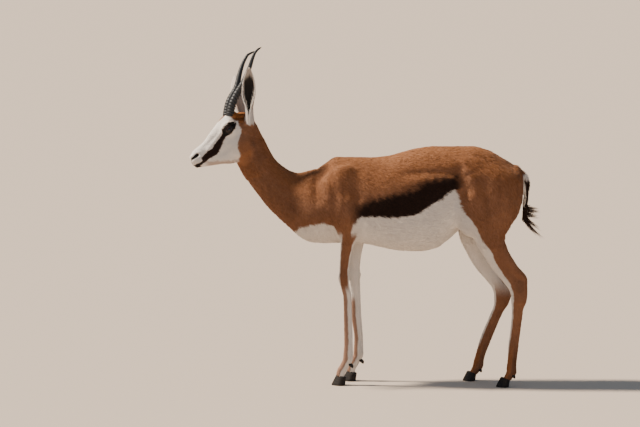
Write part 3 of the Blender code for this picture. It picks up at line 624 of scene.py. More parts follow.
def faceStrokes():
    # places in the head's own directions: forward, up, left
    made = []
    for side in (-1, 1):
        for path, radius, amount in (
            # bony rim over the eye, and the hollow of the temple behind it
            ([(0.088, 0.040, 0.040), (0.068, 0.046, 0.046), (0.050, 0.040, 0.049)], 0.0055, 0.0022),
            ([(0.030, 0.038, 0.040), (0.018, 0.022, 0.040)], 0.011, -0.0035),
            # cheek bone, cheek muscle and the hollow under it
            ([(0.100, 0.002, 0.037), (0.066, 0.002, 0.046), (0.034, 0.006, 0.044)], 0.0060, 0.0026),
            ([(0.052, -0.035, 0.042)], 0.024, 0.0022),
            ([(0.104, -0.030, 0.032), (0.128, -0.030, 0.027)], 0.012, -0.0030),
            # tear hollow, the crest over it and the hollow side of the nose
            ([(0.098, 0.014, 0.036), (0.112, 0.008, 0.032)], 0.0052, -0.0030),
            ([(0.098, 0.030, 0.030), (0.134, 0.014, 0.024), (0.165, 0.002, 0.021)], 0.0050, 0.0018),
            ([(0.125, 0.028, 0.021), (0.165, 0.018, 0.018)], 0.0070, -0.0016),
            ([(0.128, -0.006, 0.026), (0.165, -0.010, 0.022)], 0.0075, -0.0018),
            # nostril wing and slit
            ([(0.226, 0.010, 0.010), (0.206, 0.016, 0.016), (0.192, 0.010, 0.018)], 0.0042, 0.0018),
            ([(0.231, 0.0010, 0.009), (0.216, 0.0030, 0.0155), (0.2010, 0.0058, 0.018)],
             (0.0028, 0.0054), -0.0095),
            # lips and the line between them
            ([(0.2300, -0.0215, 0.000), (0.2270, -0.0220, 0.011), (0.207, -0.0255, 0.0175),
              (0.185, -0.0280, 0.0195), (0.166, -0.0262, 0.0215)], (0.0016, 0.0013), -0.0030),
            ([(0.227, -0.0160, 0.011), (0.205, -0.0185, 0.0185), (0.178, -0.0220, 0.020)],
             0.0040, 0.0012),
            ([(0.222, -0.0285, 0.010), (0.200, -0.0330, 0.0165)], 0.0040, 0.0012),
            # jaw edge
            ([(0.150, -0.050, 0.019), (0.096, -0.066, 0.026), (0.058, -0.066, 0.034)], 0.008, 0.0020),
        ):
            turned = [(h, u, side * s) for h, u, s in path]
            made.append((turned, radius, amount))
    made.append(([(0.230, 0.006, 0.0), (0.233, -0.016, 0.0)], 0.0016, -0.0015))
    made.append(([(0.085, 0.066, 0.0), (0.052, 0.078, 0.0)], 0.010, -0.0012))
    return made


# the eyes: ball, opening and lids share these sizes
eyeSet = {
    "centre": (0.0695, 0.0245, 0.0375),
    "radius": 0.0168,
    "proud": 0.030,  # share by which the clear front stands out
    "looks": (0.24, 0.10, 0.96),
    "slitTilt": 17.0,
    "halfLength": 0.0178,
    "upper": 0.0112,
    "lower": 0.0096,
    "lidRise": 0.0014,
    "reach": 0.034,  # skin that the lids draw in
    "lashes": 150,
    "lashLength": 0.0062,
    "lashRadius": 0.00016,
}


def eyeAxes(side):
    # rows: along the slit towards the nose, up across it, out of the head
    out = unit(np.array(eyeSet["looks"]))
    tilt = math.radians(eyeSet["slitTilt"])
    along = np.array([math.cos(tilt), -math.sin(tilt), 0.0])
    along = unit(along - out * (along @ out))
    across = np.cross(out, along)
    across *= np.sign(across[1])
    return np.array([along, across, out]) * (1, 1, side)


def eyeCentre(side):
    return np.array(eyeSet["centre"]) * (1, 1, side)


def fromEye(points, side):
    return fromHead(eyeCentre(side) + points @ eyeAxes(side))


def alongLids(turned):
    # arc lengths on the ball, along the slit and across it
    along = np.arctan2(turned[:, 0], turned[:, 2]) * eyeSet["radius"]
    return along, np.arctan2(turned[:, 1], turned[:, 2]) * eyeSet["radius"]


def slitEdges(along):
    share = np.clip(1 - (along / eyeSet["halfLength"]) ** 2, 0, 1) ** 0.85
    return eyeSet["upper"] * share, -eyeSet["lower"] * share


def shapeLids(points, side):
    # draws the skin down on the ball round the opening and tucks it behind inside it
    radius = eyeSet["radius"]
    local = toHead(points) - eyeCentre(side)
    size = np.linalg.norm(local, axis=1)
    near = np.flatnonzero(size < eyeSet["reach"])
    turned = (local[near] / size[near, None]) @ eyeAxes(side).T
    facing = turned[:, 2] > 0.05
    near, turned = near[facing], turned[facing]
    along, across = alongLids(turned)
    top, bottom = slitEdges(along)
    beyond = np.abs(along) - eyeSet["halfLength"]
    into = np.minimum(np.minimum(top - across, across - bottom), -beyond)
    rho = size[near]
    lid = radius + eyeSet["lidRise"] + 0.0010 * np.exp(-((into + 0.003) / 0.002) ** 2)
    hold = step(-0.0085, -0.0005, into)
    rho = rho + (lid - rho) * hold
    rho = rho + (radius - 0.0016 - rho) * step(-0.0004, 0.0008, into)
    moved = points.copy()
    direction = local[near] / size[near, None]
    moved[near] = fromHead(eyeCentre(side) + direction * rho[:, None])
    return moved


# ears: leaf-shaped cups that open outwards and forwards
earSet = {
    "root": (-0.004, 0.004, 0.036),
    "tip": (-0.0868, 0.1663, 0.082),
    "farTip": (-0.0815, 0.1705, 0.084),
    "length": 0.190,
    "bow": 0.0033,
    "farWiden": 1.10,
    "wide": [
        (-0.1, 0.0110), (0, 0.0135), (0.08, 0.0144), (0.18, 0.0132), (0.27, 0.0128), (0.40, 0.0162),
        (0.53, 0.0206), (0.66, 0.0212), (0.78, 0.0184), (0.90, 0.0122), (0.97, 0.0066), (1, 0.0012),
    ],
    "wrap": [
        (-0.1, 179), (0.14, 176), (0.24, 160), (0.34, 132), (0.46, 106), (0.60, 92), (0.8, 80), (1, 62),
    ],
    "opens": (0.45, 0.0, 0.90),
    "farOpens": (0.12, 0.0, 0.99),
    "backWall": 0.0030,
    "rimWall": 0.0013,
    "rows": 60,
    "arcs": 33,
    "hairs": 420,
    "hairLength": 0.014,
    "hairRadius": 0.00028,
}


def earLines(side):
    root = np.array(earSet["root"]) * (1, 1, side)
    tip = np.array(earSet["tip" if side > 0 else "farTip"]) * (1, 1, side)
    axis = unit(tip - root)
    opens = np.array(earSet["opens" if side > 0 else "farOpens"]) * (1, 1, side)
    opens = unit(opens - axis * (opens @ axis))
    return root, axis, opens, np.cross(axis, opens)


def earBow(t, side):
    # the ear bends forwards in the middle
    return side * earSet["bow"] * np.sin(math.pi * np.clip(t, 0, 1))


def earSection(t, side):
    # radius of the cup, half its wrap and how far its back lies behind the ear's axis
    half = curve(earSet["wide"], t) * (1.0 if side > 0 else earSet["farWiden"])
    wrap = np.radians(curve(earSet["wrap"], t))
    radius = half / np.minimum(1.0, np.sin(np.minimum(wrap, math.pi / 2)))
    back = 0.005 * np.sin(math.pi * np.clip(t * 1.1, 0, 1))
    return radius, wrap, back


def earTaper(radius):
    # the wall thins where the cup narrows
    return np.clip(radius / 0.012, 0.25, 1)


def earCup(name, side):
    root, axis, opens, edge = earLines(side)
    rows, arcs = earSet["rows"], earSet["arcs"]
    t = np.linspace(-0.085, 1, rows)[:, None]
    across = np.linspace(-1, 1, arcs)[None, :]
    radius, wrap, back = earSection(t[:, 0], side)
    angle = wrap[:, None] * across
    middle = root + axis * earSet["length"] * t - opens * back[:, None]
    middle = middle + edge * earBow(t, side)
    out = -opens * np.cos(angle)[..., None] + edge * np.sin(angle)[..., None]
    wall = earSet["backWall"] + (earSet["rimWall"] - earSet["backWall"]) * across**2
    wall = wall * earTaper(radius)[:, None]
    deep = step(0.06, 0.28, t)
    ripple = 0.0009 * np.sin(9 * t + 4 * across) * step(0.3, 0.6, t)
    # the front rim rolls outwards a little
    roll = 0.0016 * np.clip(side * across, 0, 1) ** 6
    ripple = ripple + roll * step(0.25, 0.45, t) * step(1.0, 0.8, t)
    inside = (radius[:, None] - wall) * (0.12 + 0.88 * deep)
    # two soft ribs run up the inside of the cup
    rib = 0.0010 * (np.exp(-((across - 0.30) / 0.09) ** 2) + np.exp(-((across + 0.25) / 0.09) ** 2))
    inside = inside - rib * step(0.1, 0.3, t) * step(0.95, 0.7, t)
    outer = middle[:, None, :] + out * (radius[:, None] + ripple)[..., None]
    inner = middle[:, None, :] + out * (inside + ripple)[..., None]
    n = rows * arcs
    index = np.arange(n).reshape(rows, arcs)
    a, b, c, d = index[:-1, :-1], index[:-1, 1:], index[1:, 1:], index[1:, :-1]
    faces = [np.stack([a, b, c, d], -1).reshape(-1, 4)]
    faces.append(np.stack([a, d, c, b], -1).reshape(-1, 4) + n)
    for line, turn in ((index[:, 0], 1), (index[:, -1], -1), (index[0], -1), (index[-1], 1)):
        strip = np.stack([line[:-1], line[1:], line[1:] + n, line[:-1] + n], -1)
        faces.append(strip[:, ::turn])
    points = fromHead(np.concatenate([outer.reshape(-1, 3), inner.reshape(-1, 3)]))
    obj = meshFrom(name, points, np.concatenate(faces))
    rework(obj.data, faceOutwards)
    return obj


def earPlace(points, side):
    # share of the ear's length, share of the wrap, and where on the ear a point lies
    root, axis, opens, edge = earLines(side)
    local = toHead(points) - root
    t = local @ axis / earSet["length"]
    radius, wrap, back = earSection(np.clip(t, -0.08, 1), side)
    off = local - axis * (local @ axis)[:, None] + opens * back[:, None]
    off = off - edge * earBow(t, side)[:, None]
    reach = np.linalg.norm(off, axis=1)
    angle = np.arctan2(off @ edge, -(off @ opens))
    rim = np.abs(angle) / wrap
    inCup = reach < radius - earSet["rimWall"] * earTaper(radius)
    onEar = (t > -0.045) & (t < 1.05) & (reach < radius + 0.004)
    return {"share": t, "rim": rim, "inCup": inCup, "onEar": onEar, "front": side * angle > 0}


# feet: (toe, heel, across, height of the hoof)
feet = {
    "frontLeft": (-0.1115, -0.064, -0.048, 0.033),
    "frontRight": (-0.0785, -0.031, 0.048, 0.033),
    "hindLeft": (0.4400, 0.4845, -0.065, 0.031),
    "hindRight": (0.3275, 0.3720, 0.065, 0.031),
}


def shapeFeet(points):
    # brings the pastern back over the hoof and tucks its end inside the wall
    moved = points.copy()
    for toeX, heelX, y, height in feet.values():
        near = np.flatnonzero(
            (np.abs(points[:, 1] - y) < 0.032) & (points[:, 2] < 0.078)
            & (points[:, 0] > toeX - 0.03) & (points[:, 0] < heelX + 0.05)
        )
        q = moved[near]
        q[:, 0] += (0.0015 if toeX < 0 else 0.0050) * step(0.074, 0.034, q[:, 2])
        middle = toeX + 0.70 * (heelX - toeX)
        level = height - 0.0005 - 0.30 * (q[:, 0] - toeX - 0.6 * (heelX - toeX))
        under = step(0.003, -0.006, q[:, 2] - level)[:, None]
        axis = np.array([middle, y, 0])
        target = axis + (q - axis) * (0.62, 0.62, 1)
        target[:, 2] = np.maximum(target[:, 2], 0.006)
        moved[near] = q + (target - q) * under
    return moved


def growSkin():
    forms = bodyMasses()
    skin = meshFrom("skin", *gridMesh(forms))
    refine(skin, isLimb)
    settle(skin, isLimb, forms)
    refine(skin, isHead)
    settle(skin, isHead, forms)
    points, normals = placesOf(skin.data), normalsOf(skin.data)
    moved = points + normals * press(points, bodyStrokes + legStrokes())[:, None]
    local = toHead(points)
    onFace = np.flatnonzero(isHead(points) & (local[:, 0] > -0.012))
    moved[onFace] += normals[onFace] * press(local[onFace], faceStrokes())[:, None]
    for side in (-1, 1):
        moved = shapeLids(moved, side)
    place(skin.data, shapeFeet(moved))
    for name, side in (("cupLeft", 1), ("cupRight", -1)):
        cup = earCup(name, side)
        join = skin.modifiers.new(name, "BOOLEAN")
        join.operation = "UNION"
        join.solver = "MANIFOLD"
        join.object = cup
        graph = bpy.context.evaluated_depsgraph_get()
        joined = bpy.data.meshes.new_from_object(skin.evaluated_get(graph))
        skin.modifiers.clear()
        skin.data = joined
        bpy.data.objects.remove(cup, do_unlink=True)
    rework(skin.data, lambda bm: bmesh.ops.triangulate(bm, faces=bm.faces))
    skin.data.polygons.foreach_set("use_smooth", np.full(len(skin.data.polygons), True))
    return skin


# markings, the same on skin and coat, with some painted light and shade among them
def noise(points, scale, seed=0):
    # smooth, seeded wobble between about -1 and 1
    dice = np.random.default_rng(seed)
    total = np.zeros(len(points))
    for _ in range(6):
        direction = dice.normal(size=3)
        direction *= dice.uniform(0.6, 1.5) / (np.linalg.norm(direction) * scale)
        total += np.sin(points @ direction * 2 * math.pi + dice.uniform(0, 6.3))
    return total / 3


markSet = {
    # under the flank band, (along, height)
    "bellyLine": [
        (-0.26, 0.500), (-0.236, 0.520), (-0.215, 0.538), (-0.185, 0.544), (-0.135, 0.5525),
        (-0.111, 0.546), (-0.095, 0.525), (-0.082, 0.480), (-0.055, 0.480), (-0.041, 0.545),
        (-0.018, 0.571), (0.05, 0.576), (0.116, 0.577), (0.167, 0.585), (0.219, 0.616),
        (0.263, 0.647), (0.287, 0.665), (0.34, 0.680),
    ],
    "bandTop": [
        (-0.05, 0.588), (0.006, 0.612), (0.053, 0.628), (0.116, 0.645), (0.167, 0.662),
        (0.202, 0.685), (0.254, 0.6955), (0.30, 0.702), (0.34, 0.700),
    ],
    # brown of the thigh begins here, (height, along)
    "thighLine": [
        (0.27, 0.4960), (0.3135, 0.4965), (0.347, 0.487), (0.388, 0.4585), (0.42, 0.439),
        (0.463, 0.420), (0.495, 0.396), (0.5625, 0.359), (0.598, 0.324), (0.611, 0.3185),
        (0.656, 0.3065), (0.665, 0.300), (0.70, 0.290),
    ],
    "rumpHalf": [
        (0.44, 0.020), (0.52, 0.034), (0.58, 0.043), (0.64, 0.044), (0.685, 0.030), (0.71, 0.008),
        (0.725, 0.0),
    ],
    # back edge of the white face, (up, forward)
    "faceLine": [
        (-0.110, 0.125), (-0.086, 0.086), (-0.066, 0.079), (-0.049, 0.077), (-0.034, 0.0715),
        (-0.017, 0.0545), (-0.002, 0.036), (0.015, 0.032), (0.031, 0.031), (0.040, 0.033),
        (0.052, 0.040), (0.062, 0.046), (0.08, 0.050),
    ],
    "stripe": [
        (0.084, 0.0200, 0), (0.099, 0.0135, 0), (0.121, 0.0008, 0), (0.142, -0.0125, 0),
        (0.165, -0.0140, 0), (0.1900, -0.0160, 0),
    ],
    "stripeHalf": [
        (0, 0.0080), (0.2, 0.0080), (0.4, 0.0108), (0.6, 0.0125), (0.8, 0.0118), (1, 0.0078),
    ],
}


def limbTable(rows):
    # a limb's places, half depths and half widths as lines over its height
    rows = sorted(rows, key=lambda row: row[2])
    z = [row[2] for row in rows]
    return [list(zip(z, [row[k] for row in rows])) for k in (0, 1, 3, 4)]


def limbPlace(points, rows):
    # how far forward (-1 is the front edge) and how far inward (1 is the inner face)
    cx, cy, deep, wide = limbTable(rows)
    z = points[:, 2]
    middle = curve([(a, abs(b)) for a, b in cy], z)
    ahead = (points[:, 0] - curve(cx, z)) / curve(deep, z)
    return ahead, (middle - np.abs(points[:, 1])) / curve(wide, z)


def bodyMarks(points, normals):
    x, y, z = points.T
    ginger = np.zeros(len(x))
    right = y > 0
    wobble = 0.0022 * noise(points, 0.020, 3) + 0.0012 * noise(points, 0.007, 4)
    inward = -normals[:, 1] * np.sign(y)

    # belly, brisket and flank band
    thighShift = curve(limbTable(rightHindLeg)[0], z) - curve(limbTable(hindLeg)[0], z)
    armShift = armStep * step(0.60, 0.48, z)
    under = curve(markSet["bellyLine"], x - np.where(right, armShift, 0)) - z + wobble
    ahead = curve(markSet["thighLine"], z) + np.where(right, thighShift, 0) - x + wobble
    body = (z > 0.44) & (x > -0.27)
    white = np.where(body, step(-0.0015, 0.0015, np.minimum(under, ahead)), 0)
    white = np.where((z <= 0.44) & (x > 0.29), step(-0.0015, 0.0015, ahead), white)
    top = curve(markSet["bandTop"], x)
    dark = step(0.036, -0.006, z - top + 3 * wobble) * step(-0.0015, 0.0015, -under)
    dark *= step(-0.055, -0.010, x) * step(0.345, 0.295, x + 0.12 * (z - 0.68))
    dark *= (z > 0.54)

    # hind legs: white in front and inside, brown outside, darker low on the foot; the extra darkness on
    # the near foot is painted shade
    ragged = 25 * wobble
    hind = (x > 0.29) & (z < 0.66)
    for rows, chosen, footDarkAndShade in ((hindLeg, ~right, 1.0), (rightHindLeg, right, 0.4)):
        leg = hind & chosen
        rel, inner = limbPlace(points, rows)
        strip = step(-0.66, -0.84, rel + ragged) * step(0.32, 0.28, z) * step(0.10, 0.16, z)
        inside = step(0.15, 0.55, inner + ragged) * step(0.28, 0.36, z)
        inside = inside * step(-0.75, -0.35, inward)
        rear = step(0.2, 0.5, inward) * step(0.40, 0.50, z) * step(0.68, 0.60, z)
        white = np.where(leg & (z > 0.26), np.maximum(white, np.maximum(inside, rear)), white)
        white = np.where(leg & (z <= 0.32), np.maximum(strip, white * (z > 0.26)), white)
        low = step(0.16, 0.08, z)
        ginger = np.where(leg, np.maximum(ginger, 0.6 * low * step(0.2, -0.3, rel)), ginger)
        # darker lower foot on both hind legs, much more on the near one, where it is painted shade
        dark = np.where(leg, 0.45 * low * step(-0.2, 0.4, rel) * footDarkAndShade, dark)

    # front legs: brown outside above the knee, ginger stripe down the cannon below it
    fore = (x < 0.05) & (z < 0.53) & (x > -0.2)
    for rows, chosen in ((frontLeg, ~right), (rightFrontLeg, right)):
        leg = fore & chosen
        rel, inner = limbPlace(points, rows)
        edge = np.maximum(step(-0.72, -0.86, rel + ragged), step(0.66, 0.80, rel + ragged))
        upper = np.maximum(edge, step(0.05, 0.35, inner + ragged))
        below = np.maximum(0.16, step(-0.24, -0.02, rel - 0.10 * (inner < 0) + ragged))
        drop = 0.045 * (inner > 0)
        knee = step(0.345, 0.310, z + drop)
        limb = upper * (1 - knee) + below * knee
        arm = step(0.53, 0.50, z)
        white = np.where(leg, white * (1 - arm) + limb * arm, white)
        stripe = 0.55 * step(0.345, 0.310, z) * step(-0.15, -0.55, rel)
        ginger = np.where(leg, np.maximum(ginger, stripe), ginger)

    # a warmer back: painted sunlight, as coat high on the body that faces up turns ginger
    ginger = np.maximum(ginger, 0.42 * step(0.0, 0.50, normals[:, 2]) * step(0.58, 0.66, z))

    # rump patch and tail
    rear = step(0.10, 0.45, normals[:, 0]) * (x > 0.44)
    beside = np.abs(y) - curve(markSet["rumpHalf"], z)
    patch = step(0.003, -0.003, beside + wobble) * rear
    border = np.exp(-((beside - 0.012) / 0.010) ** 2) * rear
    dark = np.maximum(dark, 0.35 * border * (z > 0.55) * (x > 0.46))
    white = np.maximum(white, patch * (z > 0.46))
    tail = (x > 0.522) & (np.abs(y) < 0.02) & (z > 0.5) & (z < 0.715)
    axisLine = curve([(row[2], row[0]) for row in reversed(tailStem[1:])], z)
    stem = step(0.702, 0.692, z + wobble) * step(-0.0022, 0.0002, x - axisLine)
    stem = np.where(z < 0.603, 1, stem)
    white = np.where(tail, 1 - stem, white)
    dark = np.where(tail, stem, dark)
    return white, dark, ginger


def onMuzzle(local):
    return (local[:, 0] > 0.16) & (np.abs(local[:, 2]) < 0.05) & (np.abs(local[:, 1]) < 0.07)


def nosePlace(local):
    # how far outside the nostril and the dark part of the lips each point is
    side = local * (1, 1, 0)
    s = np.abs(local[:, 2])
    d, t = pathDistance(side, [(0.2310, 0.0010, 0), (0.216, 0.0030, 0), (0.2015, 0.0055, 0)])
    nose = np.where(s > 0.0045, d - (0.0030 + 0.0030 * t), 1.0)
    d, t = pathDistance(side, [
        (0.2320, -0.0225, 0), (0.2120, -0.0250, 0), (0.1950, -0.0245, 0), (0.1780, -0.0220, 0),
    ])
    return nose, d - (0.0044 + 0.0006 * t)


def headMarks(points):
    local = toHead(points)
    h, u, s = local[:, 0], local[:, 1], np.abs(local[:, 2])
    wobble = 0.0016 * noise(points, 0.012, 5) + 0.0008 * noise(points, 0.005, 6)
    face = np.stack([h, u, s], axis=1)
    side = np.stack([h, u, 0 * h], axis=1)
    sidewise = step(0.006, 0.010, s)
    edge = curve(markSet["faceLine"], u)
    white = step(-0.0018, 0.0018, h - edge + wobble)
    # dark stripe from the eye to the corner of the mouth
    d, t = pathDistance(side, markSet["stripe"])
    half = curve(markSet["stripeHalf"], t)
    dark = step(0.0016, -0.0016, d - half + wobble) * sidewise
    # rusty patch between eye and horn, brown forehead, crown behind the horns
    d, _ = pathDistance(side, [(0.053, 0.0475, 0), (0.031, 0.0415, 0), (0.010, 0.0320, 0)])
    rust = step(0.0080, 0.0040, d + wobble) * step(0.012, 0.022, s)
    brow = np.sqrt(((h - 0.055) / 0.024) ** 2 + ((s / 0.015) ** 2))
    brow = step(1.2, 0.7, brow + 50 * wobble) * step(0.045, 0.055, u)
    ginger = np.maximum(0.85 * brow, step(0.050, 0.030, h) * step(0.012, 0.035, u))
    dark = np.maximum(dark, 0.55 * rust)
    ginger = np.maximum(ginger, rust)
    # dark skin round the eye, longest towards the nose
    centre = np.array(eyeSet["centre"])
    eye = np.linalg.norm(face - centre, axis=1)
    turned = unit(face - centre) @ eyeAxes(1).T
    along, across = alongLids(turned)
    top, bottom = slitEdges(np.clip(along, -0.0135, 0.0135))
    out = np.maximum(np.maximum(across - top, bottom - across), np.abs(along) - 0.0165)
    facing = (eye < 0.038) & (turned[:, 2] > 0)
    reach = 0.0036 + 0.0060 * step(0.004, 0.018, along) + 0.0040 * step(-0.006, -0.018, along)
    reach = reach + 0.0012 * step(0.0, 0.01, across) + 0.0040 * step(0.0, -0.009, across)
    black = step(0.001, -0.001, out - reach + 0.6 * wobble) * facing
    dark = np.maximum(dark, 0.9 * step(0.0030, 0.0, out - reach + wobble) * facing)
    # nostrils, line of the mouth and dark lower lip
    nose, lip = nosePlace(local)
    black = np.maximum(black, step(0.0012, -0.0010, nose + 0.3 * wobble))
    soft = step(0.0016, -0.0014, lip + 0.6 * wobble)
    dark = np.maximum(dark, soft)
    black = np.maximum(black, 0.7 * soft * step(0.192, 0.205, h))
    chin = step(-0.0255, -0.0275, u + wobble) * step(0.203, 0.212, h)
    dark = np.maximum(dark, chin * step(-0.0420, -0.0360, u + wobble))
    pad = step(0.0055, 0.0030, s) * step(0.224, 0.229, h) * (u < 0.010) * (u > -0.012)
    black = np.maximum(black, 0.6 * pad)
    ginger = np.maximum(ginger, 0.25 * step(-0.020, -0.050, u) * step(0.05, 0.01, h - edge))
    white = white * (1 - np.maximum(dark, brow))
    # painted bounce light: along the underside of the jaw the white gives way to tan, as warm light
    # from the ground tints it
    jaw = step(0.002, -0.006, u + 0.0286 + 0.545 * (0.179 - h) + 2 * wobble) * step(0.198, 0.175, h)
    white = white * (1 - 0.55 * jaw)
    shade = 0.16 * step(-0.002, 0.010, u + 0.30 * (h - 0.10)) * step(0.100, 0.112, h)
    black = np.maximum(black, 0.35 * shade * (1 - dark) * step(0.150, 0.140, h))
    return white, dark, ginger, black


def markings(points, normals):
    white, dark, ginger = bodyMarks(points, normals)
    black = np.zeros(len(points))
    local = toHead(points)
    onHead = local[:, 0] > curve([(-0.10, 0.045), (0.0, 0.012), (0.05, -0.03)], local[:, 1])
    onHead &= (points[:, 0] < -0.30) & (points[:, 2] > 0.70)
    found = headMarks(points[onHead])
    for total, part in zip((white, dark, ginger, black), found):
        total[onHead] = part
    wobble = 0.0012 * noise(points, 0.008, 7)
    for side in (-1, 1):
        ear = earPlace(points, side)
        t, rim, onEar = ear["share"], ear["rim"], ear["onEar"]
        edge = np.where(ear["front"], step(0.94, 0.99, rim), step(0.66, 0.80, rim + 10 * wobble))
        lining = ear["inCup"] & onEar
        back = onEar & ~ear["inCup"]
        low = step(0.36, 0.22, t) * step(0.25, 0.55, rim)
        low = low * step(-0.045, -0.02, t + 12 * wobble)
        pale = 0.45 + 0.20 * step(0.15, 0.60, t)
        pale = np.maximum(pale, np.maximum(step(0.86, 0.96, rim), 0.85 * low))
        pale = pale * step(-0.03, 0.02, t + 12 * wobble)
        white = np.where(back, pale, white)
        ginger = np.where(back & (t > 0.05), 0.0, ginger)
        dark = np.where(onEar, 0.0, dark)
        fringe = np.maximum(edge, 0.8 * step(0.42, 0.28, t) * step(0.30, 0.75, rim))
        fringe = np.maximum(fringe, 0.62 * step(0.80, 0.93, t + 0.10 * rim + 6 * wobble))
        fringe = np.maximum(fringe, step(0.94, 0.98, t))
        white = np.where(lining, np.maximum(fringe, 0.8), white)
        inner = np.clip(0.97 - fringe, 0, 1) * step(0.02, 0.12, t)
        black = np.where(lining, inner, np.where(back, 0, black))
    return np.stack([white, dark, ginger, black], axis=1)


def toneOf(points, normals):
    # slow lighter and darker stretches of the coat, and paler sides as painted sheen
    tone = 0.5 + 0.10 * noise(points, 0.16, 8) + 0.07 * noise(points, 0.045, 9)
    # painted sheen: high on the body, coat that does not face up turns paler, as grazing light makes it
    # look
    tone += 0.07 * step(0.55, 0.70, points[:, 2]) * step(0.5, -0.1, normals[:, 2])
    return np.clip(tone, 0, 1)


def paint(mesh, name, kind, values):
    layer = mesh.attributes.new(name, kind, "POINT")
    key = {"FLOAT_COLOR": "color", "FLOAT_VECTOR": "vector"}.get(kind, "value")
    layer.data.foreach_set(key, np.asarray(values, np.float32).ravel())


# the way the hair lies
def flowAnchors():
    # (place, direction) on the near side; mirrored across
    rows = [
        ((-0.40, 0.03, 0.84), (0.45, 0.0, -0.9)), ((-0.43, 0.0, 0.80), (0.35, 0.0, -0.95)),
        ((-0.36, 0.04, 0.77), (0.50, 0.0, -0.85)), ((-0.33, 0.0, 0.82), (0.55, 0.0, -0.8)),
        ((-0.27, 0.05, 0.70), (0.70, 0.0, -0.70)), ((-0.33, 0.04, 0.64), (0.45, 0.0, -0.90)),
        ((-0.24, 0.0, 0.75), (0.80, 0.0, -0.55)), ((-0.20, 0.06, 0.64), (0.55, 0.0, -0.85)),
        ((-0.24, 0.0, 0.56), (0.75, 0.0, -0.65)), ((-0.12, 0.09, 0.68), (0.62, 0.0, -0.75)),
        ((-0.10, 0.0, 0.77), (1.0, 0.0, -0.12)), ((-0.09, 0.09, 0.56), (0.25, 0.0, -0.97)),
        ((0.02, 0.10, 0.70), (0.85, 0.0, -0.50)), ((0.02, 0.09, 0.56), (0.90, 0.0, -0.42)),
        ((0.05, 0.0, 0.77), (1.0, 0.0, 0.05)), ((0.15, 0.11, 0.68), (0.93, 0.0, -0.36)),
        ((0.15, 0.09, 0.52), (1.0, 0.0, -0.05)), ((0.15, 0.0, 0.45), (1.0, 0.0, 0.10)),
        ((0.25, 0.0, 0.80), (1.0, 0.0, -0.02)), ((0.28, 0.10, 0.66), (0.95, 0.0, -0.30)),
        ((0.30, 0.08, 0.56), (0.80, 0.0, 0.50)), ((0.36, 0.10, 0.70), (0.75, 0.0, -0.65)),
        ((0.42, 0.0, 0.79), (0.95, 0.0, -0.30)), ((0.42, 0.10, 0.62), (0.35, 0.0, -0.93)),
        ((0.38, 0.10, 0.54), (0.30, 0.0, -0.95)), ((0.50, 0.05, 0.70), (0.40, 0.1, -0.90)),
        ((0.52, 0.03, 0.62), (0.0, 0.35, -0.93)), ((0.44, 0.07, 0.46), (0.35, 0.0, -0.93)),
        ((0.50, 0.07, 0.34), (0.15, 0.0, -0.98)), ((0.39, 0.07, 0.42), (0.30, 0.0, -0.95)),
        ((0.45, 0.07, 0.30), (0.10, 0.0, -0.98)), ((0.41, 0.06, 0.14), (-0.25, 0.0, -0.96)),
        ((0.50, 0.06, 0.14), (-0.02, 0.0, -1.0)), ((-0.06, 0.05, 0.42), (0.1, 0.0, -1.0)),
        ((-0.05, 0.05, 0.20), (0.05, 0.0, -1.0)), ((0.535, 0.0, 0.66), (0.05, 0.0, -1.0)),
        ((-0.03, 0.05, 0.05), (-0.3, 0.0, -0.9)), ((0.48, 0.06, 0.03), (-0.4, 0.0, -0.9)),
        ((0.37, 0.06, 0.03), (-0.4, 0.0, -0.9)),
    ]
    places, ways = [], []
    for (x, y, z), (dx, dy, dz) in rows:
        for side in (-1, 1) if y else (1,):
            places.append((x, side * y, z))
            ways.append((dx, side * dy, dz))
    return np.array(places), unit(np.array(ways))


def flowAt(points, normals):
    places, ways = flowAnchors()
    total = np.zeros((len(points), 3))
    for anchor, way in zip(places, ways):
        w = 1 / (((points - anchor) ** 2).sum(1) + 0.0009) ** 2
        total += w[:, None] * way
    total = unit(total)
    local = toHead(points)
    # face: from the nose back, down the cheek and up between the horns
    back = np.stack([
        np.full(len(points), -1.0),
        -0.35 * step(0.03, -0.05, local[:, 1]) + 0.3 * step(0.05, 0.07, local[:, 1]),
        0.55 * np.sign(local[:, 2]) * step(0.10, 0.04, local[:, 0]),
    ], axis=1)
    back = unit(back) @ headAxes
    share = step(-0.035, 0.02, local[:, 0]) * (np.abs(local[:, 2]) < 0.08) * (local[:, 1] > -0.12)
    total = total * (1 - share)[:, None] + back * share[:, None]
    for side in (-1, 1):
        total[earPlace(points, side)["onEar"]] = earLines(side)[1] @ headAxes
    sway = 0.16 * np.stack([noise(points, 0.05, 21 + k) for k in range(3)], axis=1)
    total = total + sway
    total -= normals * (total * normals).sum(1)[:, None]
    return unit(total)


# the coat: thin overlapping tufts, each a closed blade of four triangles
coatSet = {
    # tufts in each piece, their length and width, and how steeply they rise
    "face": {"count": 47000, "length": 0.0052, "width": 0.00085, "lift": 0.08},
    "crown": {"count": 24000, "length": 0.0075, "width": 0.0010, "lift": 0.14},
    "neck": {"count": 44000, "length": 0.0105, "width": 0.0013, "lift": 0.13},
    "shoulder": {"count": 46000, "length": 0.0110, "width": 0.0014, "lift": 0.12},
    "barrel": {"count": 48000, "length": 0.0125, "width": 0.0015, "lift": 0.10},
    "croup": {"count": 46000, "length": 0.0125, "width": 0.0015, "lift": 0.12},
    "foreLegs": {"count": 41000, "length": 0.0062, "width": 0.00090, "lift": 0.12},
    "hindLegs": {"count": 45000, "length": 0.0066, "width": 0.00095, "lift": 0.12},
}


